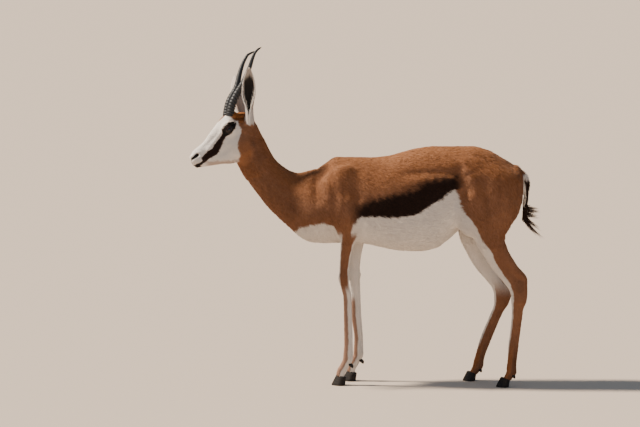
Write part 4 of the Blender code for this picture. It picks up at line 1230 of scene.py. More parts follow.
def regionOf(points):
    # which coat piece a root belongs to
    x, z = points[:, 0], points[:, 2]
    local = toHead(points)
    names = np.full(len(points), "barrel", dtype="<U10")
    neckEnd = -0.215 - 0.5 * (0.62 - z)
    names[x < neckEnd] = "neck"
    names[(x >= neckEnd) & (x < 0.045)] = "shoulder"
    names[x > 0.29] = "croup"
    names[(z < 0.478) & (x < 0.05)] = "foreLegs"
    names[(z < 0.475) & (x > 0.30)] = "hindLegs"
    nape = curve([(-0.10, 0.045), (0.0, 0.0), (0.05, -0.02)], local[:, 1])
    onHead = isHead(points) & (local[:, 0] > nape)
    names[onHead] = "face"
    crown = (onHead & (local[:, 0] < 0.030)) | ((local[:, 1] > 0.078) & (x < -0.25))
    for side in (-1, 1):
        crown |= earPlace(points, side)["onEar"]
    names[crown] = "crown"
    return names


def tuftSizes(points, normals, sizes):
    # length and width, smallest on the muzzle, lids and feet
    x, z = points[:, 0], points[:, 2]
    length = np.full(len(points), sizes["length"])
    width = np.full(len(points), sizes["width"])
    local = toHead(points)
    onHead = isHead(points)
    muzzle = onHead * step(0.06, 0.20, local[:, 0])
    length *= 1 - 0.45 * muzzle
    width *= 1 - 0.25 * muzzle
    for side in (-1, 1):
        away = np.linalg.norm(local - eyeCentre(side), axis=1)
        length *= 1 - 0.45 * onHead * step(0.032, 0.018, away)
    length *= 1 - 0.25 * step(0.10, 0.03, z)
    # longer on the croup, throat, brisket, belly edge and the backs of the thighs
    length *= 1 + 0.35 * step(0.28, 0.45, x) * step(0.70, 0.76, z)
    length *= 1 + 0.30 * step(-0.6, -0.95, normals[:, 2]) * (x > -0.3) * (z > 0.43)
    length *= 1 + 0.25 * step(0.3, 0.8, normals[:, 0]) * (x > 0.42) * (z > 0.45)
    length *= 1 + 0.12 * noise(points, 0.09, 31)
    for side in (-1, 1):
        ear = earPlace(points, side)
        onEar = length * (0.85 - 0.40 * step(0.5, 1.0, ear["share"]))
        length = np.where(ear["onEar"], onEar, length)
    return length, width


def tuftDensity(points):
    # how closely roots stand, before each piece's own count is met
    local = toHead(points)
    dense = np.ones(len(points))
    dense *= 1 + 1.3 * isHead(points) * step(0.02, 0.20, local[:, 0])
    dense *= 1 + 0.5 * step(0.14, 0.05, points[:, 2])
    return dense


def bare(points):
    # places without hair: inside the lids, nostrils, the dark part of the lips and under the horns
    local = toHead(points)
    none = np.zeros(len(points), bool)
    for side in (-1, 1):
        near = local - eyeCentre(side)
        size = np.linalg.norm(near, axis=1)
        turned = (near / size[:, None]) @ eyeAxes(side).T
        along, across = alongLids(turned)
        top, bottom = slitEdges(along)
        out = np.maximum(np.maximum(across - top, bottom - across), np.abs(along) - 0.0170)
        none |= (size < 0.022) & (turned[:, 2] > 0.1) & (out < 0.0011)
        foot = np.array(hornPaths["near"][0]) * (1, 1, side)
        none |= np.linalg.norm(local - foot, axis=1) < 0.0135
    nose, lip = nosePlace(local)
    none |= onMuzzle(local) & ((nose < 0.0006) | ((lip < -0.0012) & (local[:, 0] > 0.186)))
    return none


def scatter(names, name):
    # roots spread evenly by area: places, normals and the skin's bake places
    sizes = coatSet[name]
    corners = skinFacts["corners"]
    chosen = np.flatnonzero(names == name)
    weight = skinFacts["area"][chosen] * tuftDensity(skinFacts["middle"][chosen])
    picks = chance.choice(chosen, size=sizes["count"], p=weight / weight.sum())
    a, b = chance.random(len(picks)), chance.random(len(picks))
    over = a + b > 1
    a[over], b[over] = 1 - a[over], 1 - b[over]
    mix = np.stack([1 - a - b, a, b], axis=1)[:, :, None]
    roots = (skinFacts["points"][corners[picks]] * mix).sum(1)
    ups = unit((skinFacts["normals"][corners[picks]] * mix).sum(1))
    spots = (skinFacts["uv"][picks] * mix).sum(1)
    keep = ~bare(roots)
    return roots[keep], ups[keep], spots[keep]


def tuftMesh(name, roots, ups, spots, sizes):
    count = len(roots)
    flow = flowAt(roots, ups)
    length, width = tuftSizes(roots, ups, sizes)
    length = length * chance.uniform(0.70, 1.25, count)
    width = width * chance.uniform(0.75, 1.25, count)
    across = np.cross(ups, flow)
    yaw = chance.normal(0, 0.16, count)[:, None]
    flow, across = unit(flow + across * yaw), unit(across - flow * yaw)
    lift = sizes["lift"] * chance.uniform(0.5, 1.7, count)[:, None]
    sink = np.minimum(0.0006, 0.06 * sizes["length"])
    base = roots - ups * sink - flow * (length * 0.10)[:, None]
    half = (width / 2)[:, None]
    long = length[:, None]
    bend = ups * (long * lift)
    thick = width[:, None] * 0.32
    corner = np.stack([
        base - across * half, base + across * half,
        base + flow * long * 0.42 + bend * 0.62 + ups * (thick + sink * 0.4),
        base + flow * long + bend + across * half * chance.normal(0, 0.7, count)[:, None],
    ], axis=1)
    faces = np.array([(0, 2, 1), (0, 3, 2), (2, 3, 1), (1, 3, 0)])
    index = (np.arange(count)[:, None, None] * 4 + faces[None]).reshape(-1, 3)
    obj = meshFrom(name, corner.reshape(-1, 3), index)
    mesh = obj.data
    # shading follows the body, with each tuft leaning its own way
    lean = ups + across * chance.normal(0, 0.20, count)[:, None]
    lean = lean + flow * (chance.normal(0.02, 0.12, count)[:, None])
    leans = np.repeat(unit(lean)[:, None, :], 4, axis=1)
    leans[:, 0] -= across * 0.35
    leans[:, 1] += across * 0.35
    leans[:, 3] += flow * 0.15
    mesh.normals_split_custom_set_from_vertices(unit(leans).reshape(-1, 3).tolist())
    marks = markings(roots + flow * chance.normal(0, 0.0012, (count, 1)), ups)
    tone = toneOf(roots, ups)
    paint(mesh, "marks", "FLOAT_COLOR", np.repeat(marks, 4, axis=0))
    paint(mesh, "tone", "FLOAT", np.repeat(tone, 4))
    paint(mesh, "strand", "FLOAT", np.repeat(chance.random(count), 4))
    paint(mesh, "along", "FLOAT", np.tile([0.0, 0.0, 0.45, 1.0], count))
    layer = mesh.uv_layers.new(name="OFBake")
    patch = np.array([(-0.0011, -0.0009), (0.0011, -0.0009), (0.0, 0.0003), (0.0, 0.0014)])
    uv = np.clip(spots[:, None, :] + patch[None], 0.0, 1.0)
    layer.data.foreach_set("uv", uv[:, faces].reshape(-1, 2).astype(np.float32).ravel())
    return obj


# long hair
def bent(roots, ways, bends, length, rows=5):
    # paths that leave along a way and bend towards another direction
    t = np.linspace(0, 1, rows)
    length = np.broadcast_to(length, len(roots))[:, None, None]
    turn = ways[:, None, :] * t[None, :, None] + bends[:, None, :] * (t**2)[None, :, None]
    return roots[:, None, :] + length * turn


def ringQuads(index):
    # faces between neighbouring rings of vertices
    a, d = index[:-1], index[1:]
    b, c = np.roll(a, -1, axis=1), np.roll(d, -1, axis=1)
    return np.stack([a, b, c, d], axis=-1).reshape(-1, 4)


def locks(name, path, ups, radius):
    # each lock is a closed three-sided strand with a rounded root and a fine tip
    count, rows = path.shape[:2]
    t = np.linspace(0, 1, rows)
    taper = 1 - 0.95 * t**1.7
    ways = unit(path[:, -1] - path[:, 0])
    across = unit(np.cross(ups, ways))[:, None, :]
    rise = unit(np.cross(ways, across[:, 0]))[:, None, :]
    radius = np.broadcast_to(radius, count)[:, None] * taper[None]
    points = []
    for k in range(3):
        angle = 2 * math.pi * k / 3
        ring = across * math.cos(angle) + rise * math.sin(angle) * 0.6
        points.append(path + ring * radius[..., None])
    points = np.stack(points, axis=2).reshape(-1, 3)
    index = np.arange(rows * 3).reshape(rows, 3)
    quads = ringQuads(index)
    faces = np.concatenate([
        quads[:, [0, 1, 2]], quads[:, [0, 2, 3]], [index[0][::-1]], [index[-1]],
    ])
    faces = (np.arange(count)[:, None, None] * rows * 3 + faces[None]).reshape(-1, 3)
    obj = meshFrom(name, points, faces)
    along = np.broadcast_to(t[None, :, None], (count, rows, 3)).ravel()
    paint(obj.data, "along", "FLOAT", along)
    paint(obj.data, "strand", "FLOAT", np.repeat(chance.random(count), rows * 3))
    return obj


tuftSet = {"wisps": 17, "hairs": 46, "stemHairs": 520, "radius": 0.00040, "rows": 9}


def tailTuft():
    # wisps leave the stem one above another and fan out behind it
    wisps, hairs, rows = tuftSet["wisps"], tuftSet["hairs"], tuftSet["rows"]
    level = np.sort(np.linspace(0, 1, wisps) + chance.normal(0, 0.03, wisps))
    level = np.clip(level, 0, 1)
    root = np.stack([
        curve([(0, 0.5340), (0.5, 0.5305), (1, 0.5315)], level), chance.normal(0, 0.0016, wisps),
        curve([(0, 0.612), (0.5, 0.586), (1, 0.560)], level),
    ], axis=1)
    tip = np.stack([
        curve([(0, 0.571), (0.25, 0.583), (0.6, 0.586), (1, 0.5940)], level)
        + chance.normal(0, 0.0035, wisps),
        chance.normal(0, 0.010, wisps),
        curve([(0, 0.600), (0.25, 0.588), (0.6, 0.540), (1, 0.484)], level)
        + chance.normal(0, 0.0050, wisps),
    ], axis=1)
    tip[:, 0] -= 0.016 * (chance.random(wisps) < 0.3)
    droop = np.stack([
        0.004 + 0.006 * level, chance.normal(0, 0.002, wisps), -0.018 - 0.010 * level,
    ], axis=1)
    which = np.repeat(np.arange(wisps), hairs)
    count = len(which)
    spread = chance.normal(0, 1, (count, 3)) * (0.0014, 0.0018, 0.0030)
    start = root[which] + spread
    end = root[which] + (tip - root)[which] * chance.uniform(0.60, 1.04, (count, 1))
    end = end + chance.normal(0, 0.0010, (count, 3))
    middle = start + droop[which] * chance.uniform(0.6, 1.3, (count, 1))
    t = np.linspace(0, 1, rows)[None, :, None]
    path = start[:, None] * (1 - t) ** 2 + middle[:, None] * 2 * t * (1 - t) + end[:, None] * t**2
    # hair that clothes the stem down into the tuft
    more = tuftSet["stemHairs"]
    high = chance.random(more)
    angle = chance.uniform(0, 2 * math.pi, more)
    foot = np.stack([
        curve([(0, 0.5345), (0.5, 0.5305), (1, 0.5345)], high) + 0.0042 * np.cos(angle),
        0.0042 * np.sin(angle), 0.640 - 0.088 * high,
    ], axis=1)
    ways = np.stack([0.10 + 0.22 * np.cos(angle) + 0.35 * high**2, 0.22 * np.sin(angle),
                     np.full(more, -1.0)], axis=1)
    bends = np.stack([0.15 + 0.3 * high, 0 * high, 0 * high], axis=1)
    short = bent(foot, unit(ways), bends, 0.018 * chance.uniform(0.5, 1.1, more), rows)
    path = np.concatenate([path, short])
    ups = np.tile([0.3, 1.0, 0.2], (len(path), 1))
    radius = tuftSet["radius"] * chance.uniform(0.7, 1.3, len(path))
    return locks("tailTuft", path, unit(ups), radius)


def earHair(name, side):
    # long pale hair along the inside of both rims and over the mouth of the cup
    count = earSet["hairs"]
    root, axis, opens, edge = earLines(side)
    t = chance.uniform(0.16, 0.86, count)
    which = side * np.where(chance.random(count) < 0.6, 1.0, -1.0)
    rim = which * chance.uniform(0.84, 0.98, count)
    radius, wrap, back = earSection(t, side)
    angle = rim * wrap
    out = -opens * np.cos(angle)[:, None] + edge * np.sin(angle)[:, None]
    middle = root + axis * (earSet["length"] * t)[:, None] - opens * back[:, None]
    middle = middle + edge * earBow(t, side)[:, None]
    roots = middle + out * (radius - 0.0020)[:, None]
    inward = -out
    ways = unit(axis + inward * 0.14 + chance.normal(0, 0.08, (count, 3)))
    bends = inward * 0.06 + chance.normal(0, 0.05, (count, 3))
    length = earSet["hairLength"] * chance.uniform(0.5, 1.0, count) * step(1.0, 0.75, t)
    path = fromHead(bent(roots, ways, bends, length + 0.004))
    radius = earSet["hairRadius"] * chance.uniform(0.7, 1.3, count)
    return locks(name, path, inward @ headAxes, radius)


# horns: centre lines in the head's own directions, before the far one is mirrored
hornPaths = {
    "near": [
        (0.041, 0.0557, 0.0250), (0.033, 0.069, 0.027), (0.011, 0.093, 0.030), (-0.013, 0.110, 0.032),
        (-0.063, 0.139, 0.0365), (-0.100, 0.167, 0.0425), (-0.132, 0.1945, 0.046),
        (-0.145, 0.2025, 0.0465), (-0.160, 0.2065, 0.046), (-0.1725, 0.207, 0.0455),
    ],
    "far": [
        (0.0385, 0.0575, 0.025), (0.0295, 0.0715, 0.027), (0.006, 0.0975, 0.029),
        (-0.016, 0.1135, 0.0305), (-0.034, 0.123, 0.032), (-0.050, 0.1335, 0.033),
        (-0.065, 0.1475, 0.035), (-0.095, 0.176, 0.040), (-0.128, 0.1995, 0.045),
        (-0.149, 0.208, 0.0465), (-0.1725, 0.207, 0.0455),
    ],
}
hornSet = {
    "radius": 0.0131,
    "taper": [
        (0, 1.0), (0.25, 0.90), (0.45, 0.75), (0.6, 0.63), (0.71, 0.53), (0.79, 0.45),
        (0.89, 0.34), (0.97, 0.22), (1, 0.03),
    ],
    "flatten": 0.90,
    "rings": 14,
    "ringEnd": 0.52,
    "ringHeight": 0.0022,
    "groove": 0.00012,
    "grooves": 11,
    "rows": 220,
    "sides": 30,
}


def closedFaces(rows, sides):
    # rings of vertices, shut at both ends by a fan round one more vertex each
    index = np.arange(rows * sides).reshape(rows, sides)
    n = rows * sides
    faces = [tuple(quad) for quad in ringQuads(index)]
    faces += [(n, index[0][(k + 1) % sides], index[0][k]) for k in range(sides)]
    return faces + [(n + 1, index[-1][k], index[-1][(k + 1) % sides]) for k in range(sides)]


def ringed(centres, radii, flatten=1.0):
    # a closed tube along centres; radii has one value for each vertex
    sides = radii.shape[1]
    along = unit(np.gradient(centres, axis=0))
    across = unit(np.array([0.0, 1.0, 0.0]) - along * along[:, 1:2])
    front = np.cross(across, along)
    angle = np.linspace(0, 2 * math.pi, sides, endpoint=False)
    ring = across[:, None] * np.cos(angle)[None, :, None] * flatten
    ring = ring + front[:, None] * np.sin(angle)[None, :, None]
    points = centres[:, None] + ring * radii[..., None]
    points = np.concatenate([points.reshape(-1, 3), centres[:1], centres[-1:]])
    return points, closedFaces(len(centres), sides)


def listMesh(name, points, faces):
    mesh = bpy.data.meshes.new(name)
    mesh.from_pydata([tuple(p) for p in points], [], [tuple(map(int, f)) for f in faces])
    mesh.polygons.foreach_set("use_smooth", np.full(len(faces), True))
    rework(mesh, faceOutwards)
    return linked(name, mesh)


def horn(name, side):
    rows, sides = hornSet["rows"], hornSet["sides"]
    path = np.array(hornPaths["near" if side > 0 else "far"]) * (1, 1, side)
    run = runAlong(path)
    at = np.linspace(-0.004, run[-1], rows)  # it starts under the skin
    line = smoothRows(run, path, at)
    line[at < 0] += np.outer(at[at < 0], unit(path[1] - path[0]))
    share = np.clip(at / run[-1], 0, 1)
    radius = hornSet["radius"] * curve(hornSet["taper"], share)
    # rings crowd at the base, widen upwards and fade before the smooth tip
    turn = hornSet["rings"] * (share / hornSet["ringEnd"]) ** 0.82
    phase = turn - np.floor(turn)
    ridge = np.where(phase < 0.62, np.abs(np.sin(phase / 0.62 * math.pi)) ** 0.7, 0)
    fade = step(hornSet["ringEnd"], hornSet["ringEnd"] * 0.72, share) * step(0.0, 0.03, share)
    angle = np.linspace(0, 2 * math.pi, sides, endpoint=False)
    front = 0.62 + 0.38 * np.sin(angle)
    wave = chance.normal(0, 0.12, (rows, 1)).cumsum(axis=0) * 0.02
    rise = hornSet["ringHeight"] * (ridge * fade)[:, None] * (front[None] + wave)
    groove = hornSet["groove"] * np.sin(angle * hornSet["grooves"])[None]
    radii = radius[:, None] + rise + groove
    obj = listMesh(name, *ringed(fromHead(line), radii, hornSet["flatten"]))
    crest = np.concatenate([((ridge * fade)[:, None] * np.ones((1, sides))).ravel(), [0, 0]])
    paint(obj.data, "crest", "FLOAT", crest)
    paint(obj.data, "share", "FLOAT", np.concatenate([np.repeat(share, sides), [0, 1]]))
    return obj


def eyeBall(name, side):
    rows, sides = 47, 64
    polar = np.linspace(0, math.pi, rows + 2)[1:-1]
    turn = np.linspace(0, 2 * math.pi, sides, endpoint=False)
    radius = eyeSet["radius"]
    # the clear front stands slightly proud of the ball
    proud = 1 + eyeSet["proud"] * np.exp(-((polar / 0.62) ** 2))
    ring = np.stack([
        np.sin(polar)[:, None] * np.cos(turn), np.sin(polar)[:, None] * np.sin(turn),
        np.cos(polar)[:, None] * np.ones_like(turn),
    ], axis=-1) * (radius * proud)[:, None, None]
    local = np.concatenate([
        ring.reshape(-1, 3), [[0, 0, radius * (1 + eyeSet["proud"])], [0, 0, -radius]],
    ])
    obj = listMesh(name, fromEye(local, side), closedFaces(rows, sides))
    paint(obj.data, "gaze", "FLOAT_VECTOR", local / radius)
    return obj


def lidRim(name, side):
    # the dark wet edge round the opening, with a tear corner towards the nose
    radius = eyeSet["radius"]
    half = eyeSet["halfLength"] - 0.0003
    turn = np.linspace(0, 2 * math.pi, 96, endpoint=False)
    along = half * np.cos(turn)
    top, bottom = slitEdges(along * 0.995)
    across = np.where(np.sin(turn) >= 0, top, bottom)
    ratio = np.stack([along, across], axis=1) / radius
    size = np.linalg.norm(ratio, axis=1, keepdims=True)
    flat = ratio * np.sin(size) / np.maximum(size, 1e-9)
    local = np.concatenate([flat, np.cos(size)], axis=1)
    centre = local * (radius + 0.0008)
    thick = 0.00085 + 0.0004 * np.maximum(np.sin(turn), 0) + 0.0008 * np.exp(-((turn / 0.22) ** 2))
    forward = unit(np.roll(centre, -1, axis=0) - np.roll(centre, 1, axis=0))
    outward = unit(centre)
    beside = np.cross(forward, outward)
    sides = 10
    rings = []
    for k in range(sides):
        angle = 2 * math.pi * k / sides
        out = outward * math.cos(angle) + beside * math.sin(angle)
        rings.append(centre + thick[:, None] * out)
    points = np.stack(rings, axis=1).reshape(-1, 3)
    index = np.arange(len(points)).reshape(-1, sides)
    faces = ringQuads(np.concatenate([index, index[:1]]))
    return listMesh(name, fromEye(points, side), faces)


def lashes(name, side):
    count = eyeSet["lashes"]
    radius = eyeSet["radius"]
    along = chance.uniform(-0.0125, 0.0135, count)
    top, _ = slitEdges(along)
    ratio = np.stack([along, top + 0.0004], axis=1) / radius
    local = unit(np.concatenate([np.sin(ratio), np.cos(ratio[:, :1]) * np.cos(ratio[:, 1:])], 1))
    roots = local * (radius + 0.0010)
    ways = local * 0.9 + np.stack([0.35 * along / 0.013, np.full(count, 0.15), 0 * along], axis=1)
    ways = unit(ways + chance.normal(0, 0.12, (count, 3)))
    bends = np.tile([0.0, 0.25, 0.0], (count, 1))
    path = bent(roots, ways, bends, eyeSet["lashLength"] * chance.uniform(0.5, 1.1, count))
    ups = local @ eyeAxes(side) @ headAxes
    return locks(name, fromEye(path, side), ups, eyeSet["lashRadius"])


# hooves: two claws to a foot, with (height share, place along the foot) lines for toe and heel
hoofSet = {
    "wide": 0.0200,
    "cleft": 0.0014,
    "rows": 30,
    "sides": 44,
    "ridge": 0.00010,
    "soleBevel": 0.0007,
    "topBevel": 0.0010,
    "toe": [(0, 0.0), (0.10, 0.010), (0.40, 0.11), (0.75, 0.25), (1.0, 0.35)],
    "heel": [(0, 0.96), (0.10, 0.97), (0.40, 1.0), (0.75, 1.03), (1.0, 1.04)],
    "spread": [(0, 1.0), (0.10, 1.0), (0.40, 0.93), (0.75, 0.84), (1.0, 0.76)],
}
dewclaws = {
    "frontLeft": (-0.048, -0.048, 0.066),
    "frontRight": (-0.015, 0.048, 0.066),
    "hindLeft": (0.495, -0.065, 0.036),
    "hindRight": (0.383, 0.065, 0.036),
}


def hoof(name, foot, claw):
    toeX, heelX, y, height = foot
    length = heelX - toeX
    rows, sides = hoofSet["rows"], hoofSet["sides"]
    share = np.linspace(0, 1, rows)[:, None]
    angle = np.linspace(0, 2 * math.pi, sides, endpoint=False)[None, :]
    along = 0.5 - 0.5 * np.cos(angle)
    out = np.maximum(0.0, np.sin(angle))
    shape = np.maximum(along, 1e-6) ** 0.65 * (1 - 0.35 * along**4)
    lean = 0.05 * np.minimum(np.sin(angle), 0)
    toe, heel = curve(hoofSet["toe"], share), curve(hoofSet["heel"], share)
    # faint growth rings on the wall, a bevel at the sole and at the hair line
    rings = hoofSet["ridge"] * np.sin(share * 44 + 1.5 * np.sin(angle)) * step(0.05, 0.2, share)
    rings -= hoofSet["soleBevel"] * step(0.035, 0.0, share)
    rings -= hoofSet["topBevel"] * step(0.88, 1.0, share)
    x = toeX + length * (toe + (heel - toe) * along) - rings * np.cos(angle) * 1.5
    wide, spread = hoofSet["wide"], curve(hoofSet["spread"], share)
    off = hoofSet["cleft"] + wide * spread * (out * shape * 1.35 + 0.04) + wide * lean
    off = off + rings * np.sin(angle)
    tilt = 0.30 * (x - toeX - 0.6 * length) * share**3
    z = height * share - tilt
    points = np.stack([x, y + claw * off, z + 0 * x], axis=-1).reshape(-1, 3)
    points = np.concatenate([points, points[:sides].mean(0)[None], points[-sides:].mean(0)[None]])
    return listMesh(name, points, closedFaces(rows, sides))


def dewclaw(name, middle, claw):
    x, y, z = middle
    knots = np.array([
        (x - 0.005, y + claw * 0.0050, z + 0.006), (x + 0.001, y + claw * 0.0072, z + 0.003),
        (x + 0.0060, y + claw * 0.0080, z - 0.002), (x + 0.0078, y + claw * 0.0078, z - 0.0065),
    ])
    at = np.linspace(0, 3, 26)
    line = smoothRows(range(len(knots)), knots, at)
    radius = curve([(0, 0.0040), (1, 0.0052), (2, 0.0042), (2.85, 0.0022), (3, 0.0004)], at)
    radius = radius + 0.00008 * np.sin(at * 14)
    return listMesh(name, *ringed(line, radius[:, None] * np.ones((1, 16))))


# materials
colours = {
    "tan": (0.182, 0.080, 0.042),
    "tanPale": (0.320, 0.146, 0.073),
    "white": (0.800, 0.722, 0.645),
    "dark": (0.020, 0.0090, 0.0058),
    "ginger": (0.290, 0.100, 0.026),
    "black": (0.010, 0.008, 0.007),
    "horn": (0.010, 0.0095, 0.010),
    "hornWorn": (0.040, 0.036, 0.033),
    "hoof": (0.010, 0.008, 0.007),
    "hoofPale": (0.030, 0.022, 0.016),
    "iris": (0.016, 0.006, 0.003),
    "pupil": (0.002, 0.002, 0.002),
    "floor": (0.52, 0.42, 0.335),
}


def rgba(name):
    return (*colours[name], 1.0)


def newGroup(name, inputs, outputs):
    tree = bpy.data.node_groups.new(name, "ShaderNodeTree")
    for word, kind in inputs:
        tree.interface.new_socket(word, in_out="INPUT", socket_type=kind)
    for word, kind in outputs:
        tree.interface.new_socket(word, in_out="OUTPUT", socket_type=kind)
    return tree, tree.nodes.new("NodeGroupInput"), tree.nodes.new("NodeGroupOutput")


def blendColour(tree, factor, first, second, kind="MIX"):
    node = tree.nodes.new("ShaderNodeMix")
    node.data_type = "RGBA"
    node.blend_type = kind
    for number, value in ((0, factor), (6, first), (7, second)):
        socket = node.inputs[number]
        if isinstance(value, (tuple, float)):
            socket.default_value = value
        else:
            tree.links.new(value, socket)
    return node.outputs[2]


def mapped(tree, value, low, high, to0, to1):
    # the range from low to high becomes the range from to0 to to1
    node = tree.nodes.new("ShaderNodeMapRange")
    tree.links.new(value, node.inputs[0])
    for k, number in enumerate((low, high, to0, to1)):
        node.inputs[k + 1].default_value = number
    return node.outputs[0]


def noiseNode(tree, scale, detail, vector):
    node = tree.nodes.new("ShaderNodeTexNoise")
    node.inputs["Scale"].default_value = scale
    node.inputs["Detail"].default_value = detail
    tree.links.new(vector, node.inputs["Vector"])
    return node.outputs[0]


def squashed(tree, vector, scale):
    node = tree.nodes.new("ShaderNodeMapping")
    node.inputs["Scale"].default_value = scale
    tree.links.new(vector, node.inputs[0])
    return node.outputs[0]


def lengthOf(tree, vector):
    node = tree.nodes.new("ShaderNodeVectorMath")
    node.operation = "LENGTH"
    tree.links.new(vector, node.inputs[0])
    return node.outputs["Value"]


def objectPlace(tree):
    return tree.nodes.new("ShaderNodeTexCoord").outputs["Object"]


def bumped(tree, shader, height, strength, distance):
    bump = tree.nodes.new("ShaderNodeBump")
    bump.inputs["Strength"].default_value = strength
    bump.inputs["Distance"].default_value = distance
    tree.links.new(height, bump.inputs["Height"])
    tree.links.new(bump.outputs[0], shader.inputs["Normal"])


def hairToneGroup():
    # the coat's colour from its markings, lighter and darker from tuft to tuft and root to tip
    tree, given, result = newGroup(
        "hairTone",
        [("Marks", "NodeSocketColor"), ("Black", "NodeSocketFloat"), ("Tone", "NodeSocketFloat"),
         ("Strand", "NodeSocketFloat"), ("Along", "NodeSocketFloat")],
        [("Colour", "NodeSocketColor")],
    )
    parts = tree.nodes.new("ShaderNodeSeparateColor")
    tree.links.new(given.outputs["Marks"], parts.inputs[0])
    brown = blendColour(tree, given.outputs["Tone"], rgba("tan"), rgba("tanPale"))
    brown = blendColour(tree, parts.outputs[2], brown, rgba("ginger"))
    brown = blendColour(tree, parts.outputs[1], brown, rgba("dark"))
    brown = blendColour(tree, parts.outputs[0], brown, rgba("white"))
    brown = blendColour(tree, given.outputs["Black"], brown, rgba("black"))
    hue = tree.nodes.new("ShaderNodeHueSaturation")
    tree.links.new(brown, hue.inputs["Color"])
    strand = given.outputs["Strand"]
    tree.links.new(mapped(tree, strand, 0, 1, 0.76, 1.20), hue.inputs["Value"])
    tree.links.new(mapped(tree, strand, 0, 1, 1.06, 0.94), hue.inputs["Saturation"])
    even = mapped(tree, parts.outputs[0], 0, 1, 0.0, 0.60)
    varied = blendColour(tree, even, hue.outputs[0], brown)
    tip = mapped(tree, given.outputs["Along"], 0, 1, 0.84, 1.06)
    shade = tree.nodes.new("ShaderNodeCombineColor")
    for k in range(3):
        tree.links.new(tip, shade.inputs[k])
    tree.links.new(
        blendColour(tree, 1.0, varied, shade.outputs[0], "MULTIPLY"), result.inputs[0]
    )
    return tree


def attribute(tree, name):
    node = tree.nodes.new("ShaderNodeAttribute")
    node.attribute_name = name
    return node


def newMaterial(name, rough, **fixed):
    look = bpy.data.materials.new(name)
    look.use_nodes = True
    shader = look.node_tree.nodes["Principled BSDF"]
    shader.inputs["Roughness"].default_value = rough
    for word, value in fixed.items():
        shader.inputs[word].default_value = value
    return look, look.node_tree, shader


hairFixed = {"Sheen Weight": 0.03, "Sheen Roughness": 0.45, "Specular IOR Level": 0.08}


def hairMaterial(name, group, onSkin):
    look, tree, shader = newMaterial(name, 0.62, **hairFixed)
    node = tree.nodes.new("ShaderNodeGroup")
    node.node_tree = group
    marks = attribute(tree, "marks")
    tree.links.new(marks.outputs["Color"], node.inputs["Marks"])
    tree.links.new(marks.outputs["Alpha"], node.inputs["Black"])
    tree.links.new(attribute(tree, "tone").outputs["Fac"], node.inputs["Tone"])
    if onSkin:
        grain = noiseNode(tree, 900, 3, objectPlace(tree))
        tree.links.new(mapped(tree, grain, 0.3, 0.7, 0, 1), node.inputs["Strand"])
        node.inputs["Along"].default_value = 0.25
        bumped(tree, shader, grain, 0.55, 0.0006)
    else:
        tree.links.new(attribute(tree, "strand").outputs["Fac"], node.inputs["Strand"])
        tree.links.new(attribute(tree, "along").outputs["Fac"], node.inputs["Along"])
    tree.links.new(node.outputs[0], shader.inputs["Base Color"])
    return look


def plainHair(name, colour):
    # long locks of one colour that changes a little towards the tip
    look, tree, shader = newMaterial(name, 0.50, **hairFixed)
    fade = mapped(tree, attribute(tree, "along").outputs["Fac"], 0, 1, 0.0, 0.35)
    base = blendColour(tree, fade, rgba(colour), rgba("tan" if colour == "black" else "white"))
    tree.links.new(base, shader.inputs["Base Color"])
    return look


def hornMaterial():
    look, tree, shader = newMaterial("horn", 0.5, **{"Specular IOR Level": 0.35})
    grain = noiseNode(tree, 220, 4, objectPlace(tree))
    worn = tree.nodes.new("ShaderNodeMath")
    worn.operation = "MULTIPLY"
    tree.links.new(attribute(tree, "crest").outputs["Fac"], worn.inputs[0])
    tree.links.new(mapped(tree, grain, 0.40, 0.62, 0.05, 0.85), worn.inputs[1])
    base = blendColour(tree, worn.outputs[0], rgba("horn"), rgba("hornWorn"))
    tree.links.new(base, shader.inputs["Base Color"])
    tree.links.new(mapped(tree, grain, 0.35, 0.65, 0.42, 0.62), shader.inputs["Roughness"])
    bumped(tree, shader, noiseNode(tree, 1400, 2, objectPlace(tree)), 0.5, 0.0003)
    return look


def hoofMaterial():
    look, tree, shader = newMaterial("hoof", 0.65, **{"Specular IOR Level": 0.2})
    grain = noiseNode(tree, 120, 4, squashed(tree, objectPlace(tree), (1, 1, 5)))
    base = blendColour(tree, mapped(tree, grain, 0.42, 0.70, 0, 1), rgba("hoof"), rgba("hoofPale"))
    tree.links.new(base, shader.inputs["Base Color"])
    bumped(tree, shader, grain, 0.4, 0.0004)
    return look


def eyeMaterial():
    look, tree, shader = newMaterial(
        "eye", 0.2, **{"Specular IOR Level": 0.12, "Coat Weight": 0.40, "Coat Roughness": 0.02}
    )
    gaze = attribute(tree, "gaze").outputs["Vector"]
    # the pupil is oblong along the slit, and the iris ends in a dark ring
    pupil = mapped(tree, lengthOf(tree, squashed(tree, gaze, (1.0, 2.3, 0.0))), 0.44, 0.50, 1, 0)
    edge = mapped(tree, lengthOf(tree, squashed(tree, gaze, (1.0, 1.0, 0.0))), 0.70, 0.84, 0, 1)
    grain = noiseNode(tree, 9, 4, gaze)
    iris = blendColour(tree, mapped(tree, grain, 0.35, 0.65, 0, 0.7), rgba("iris"), rgba("dark"))
    base = blendColour(tree, edge, iris, rgba("black"))
    base = blendColour(tree, pupil, base, rgba("pupil"))
    tree.links.new(base, shader.inputs["Base Color"])
    return look


# putting it together
def give(obj, look):
    obj.data.materials.clear()
    obj.data.materials.append(look)
    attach(obj, "root")


skin = growSkin()
print("skin:", len(skin.data.polygons), "triangles")
for other in bpy.data.objects:
    other.select_set(False)
skin.select_set(True)
bpy.context.view_layer.objects.active = skin
bpy.ops.object.mode_set(mode="EDIT")
bpy.ops.mesh.select_all(action="SELECT")
bpy.ops.uv.smart_project(angle_limit=math.radians(66), island_margin=0.001)
bpy.ops.object.mode_set(mode="OBJECT")

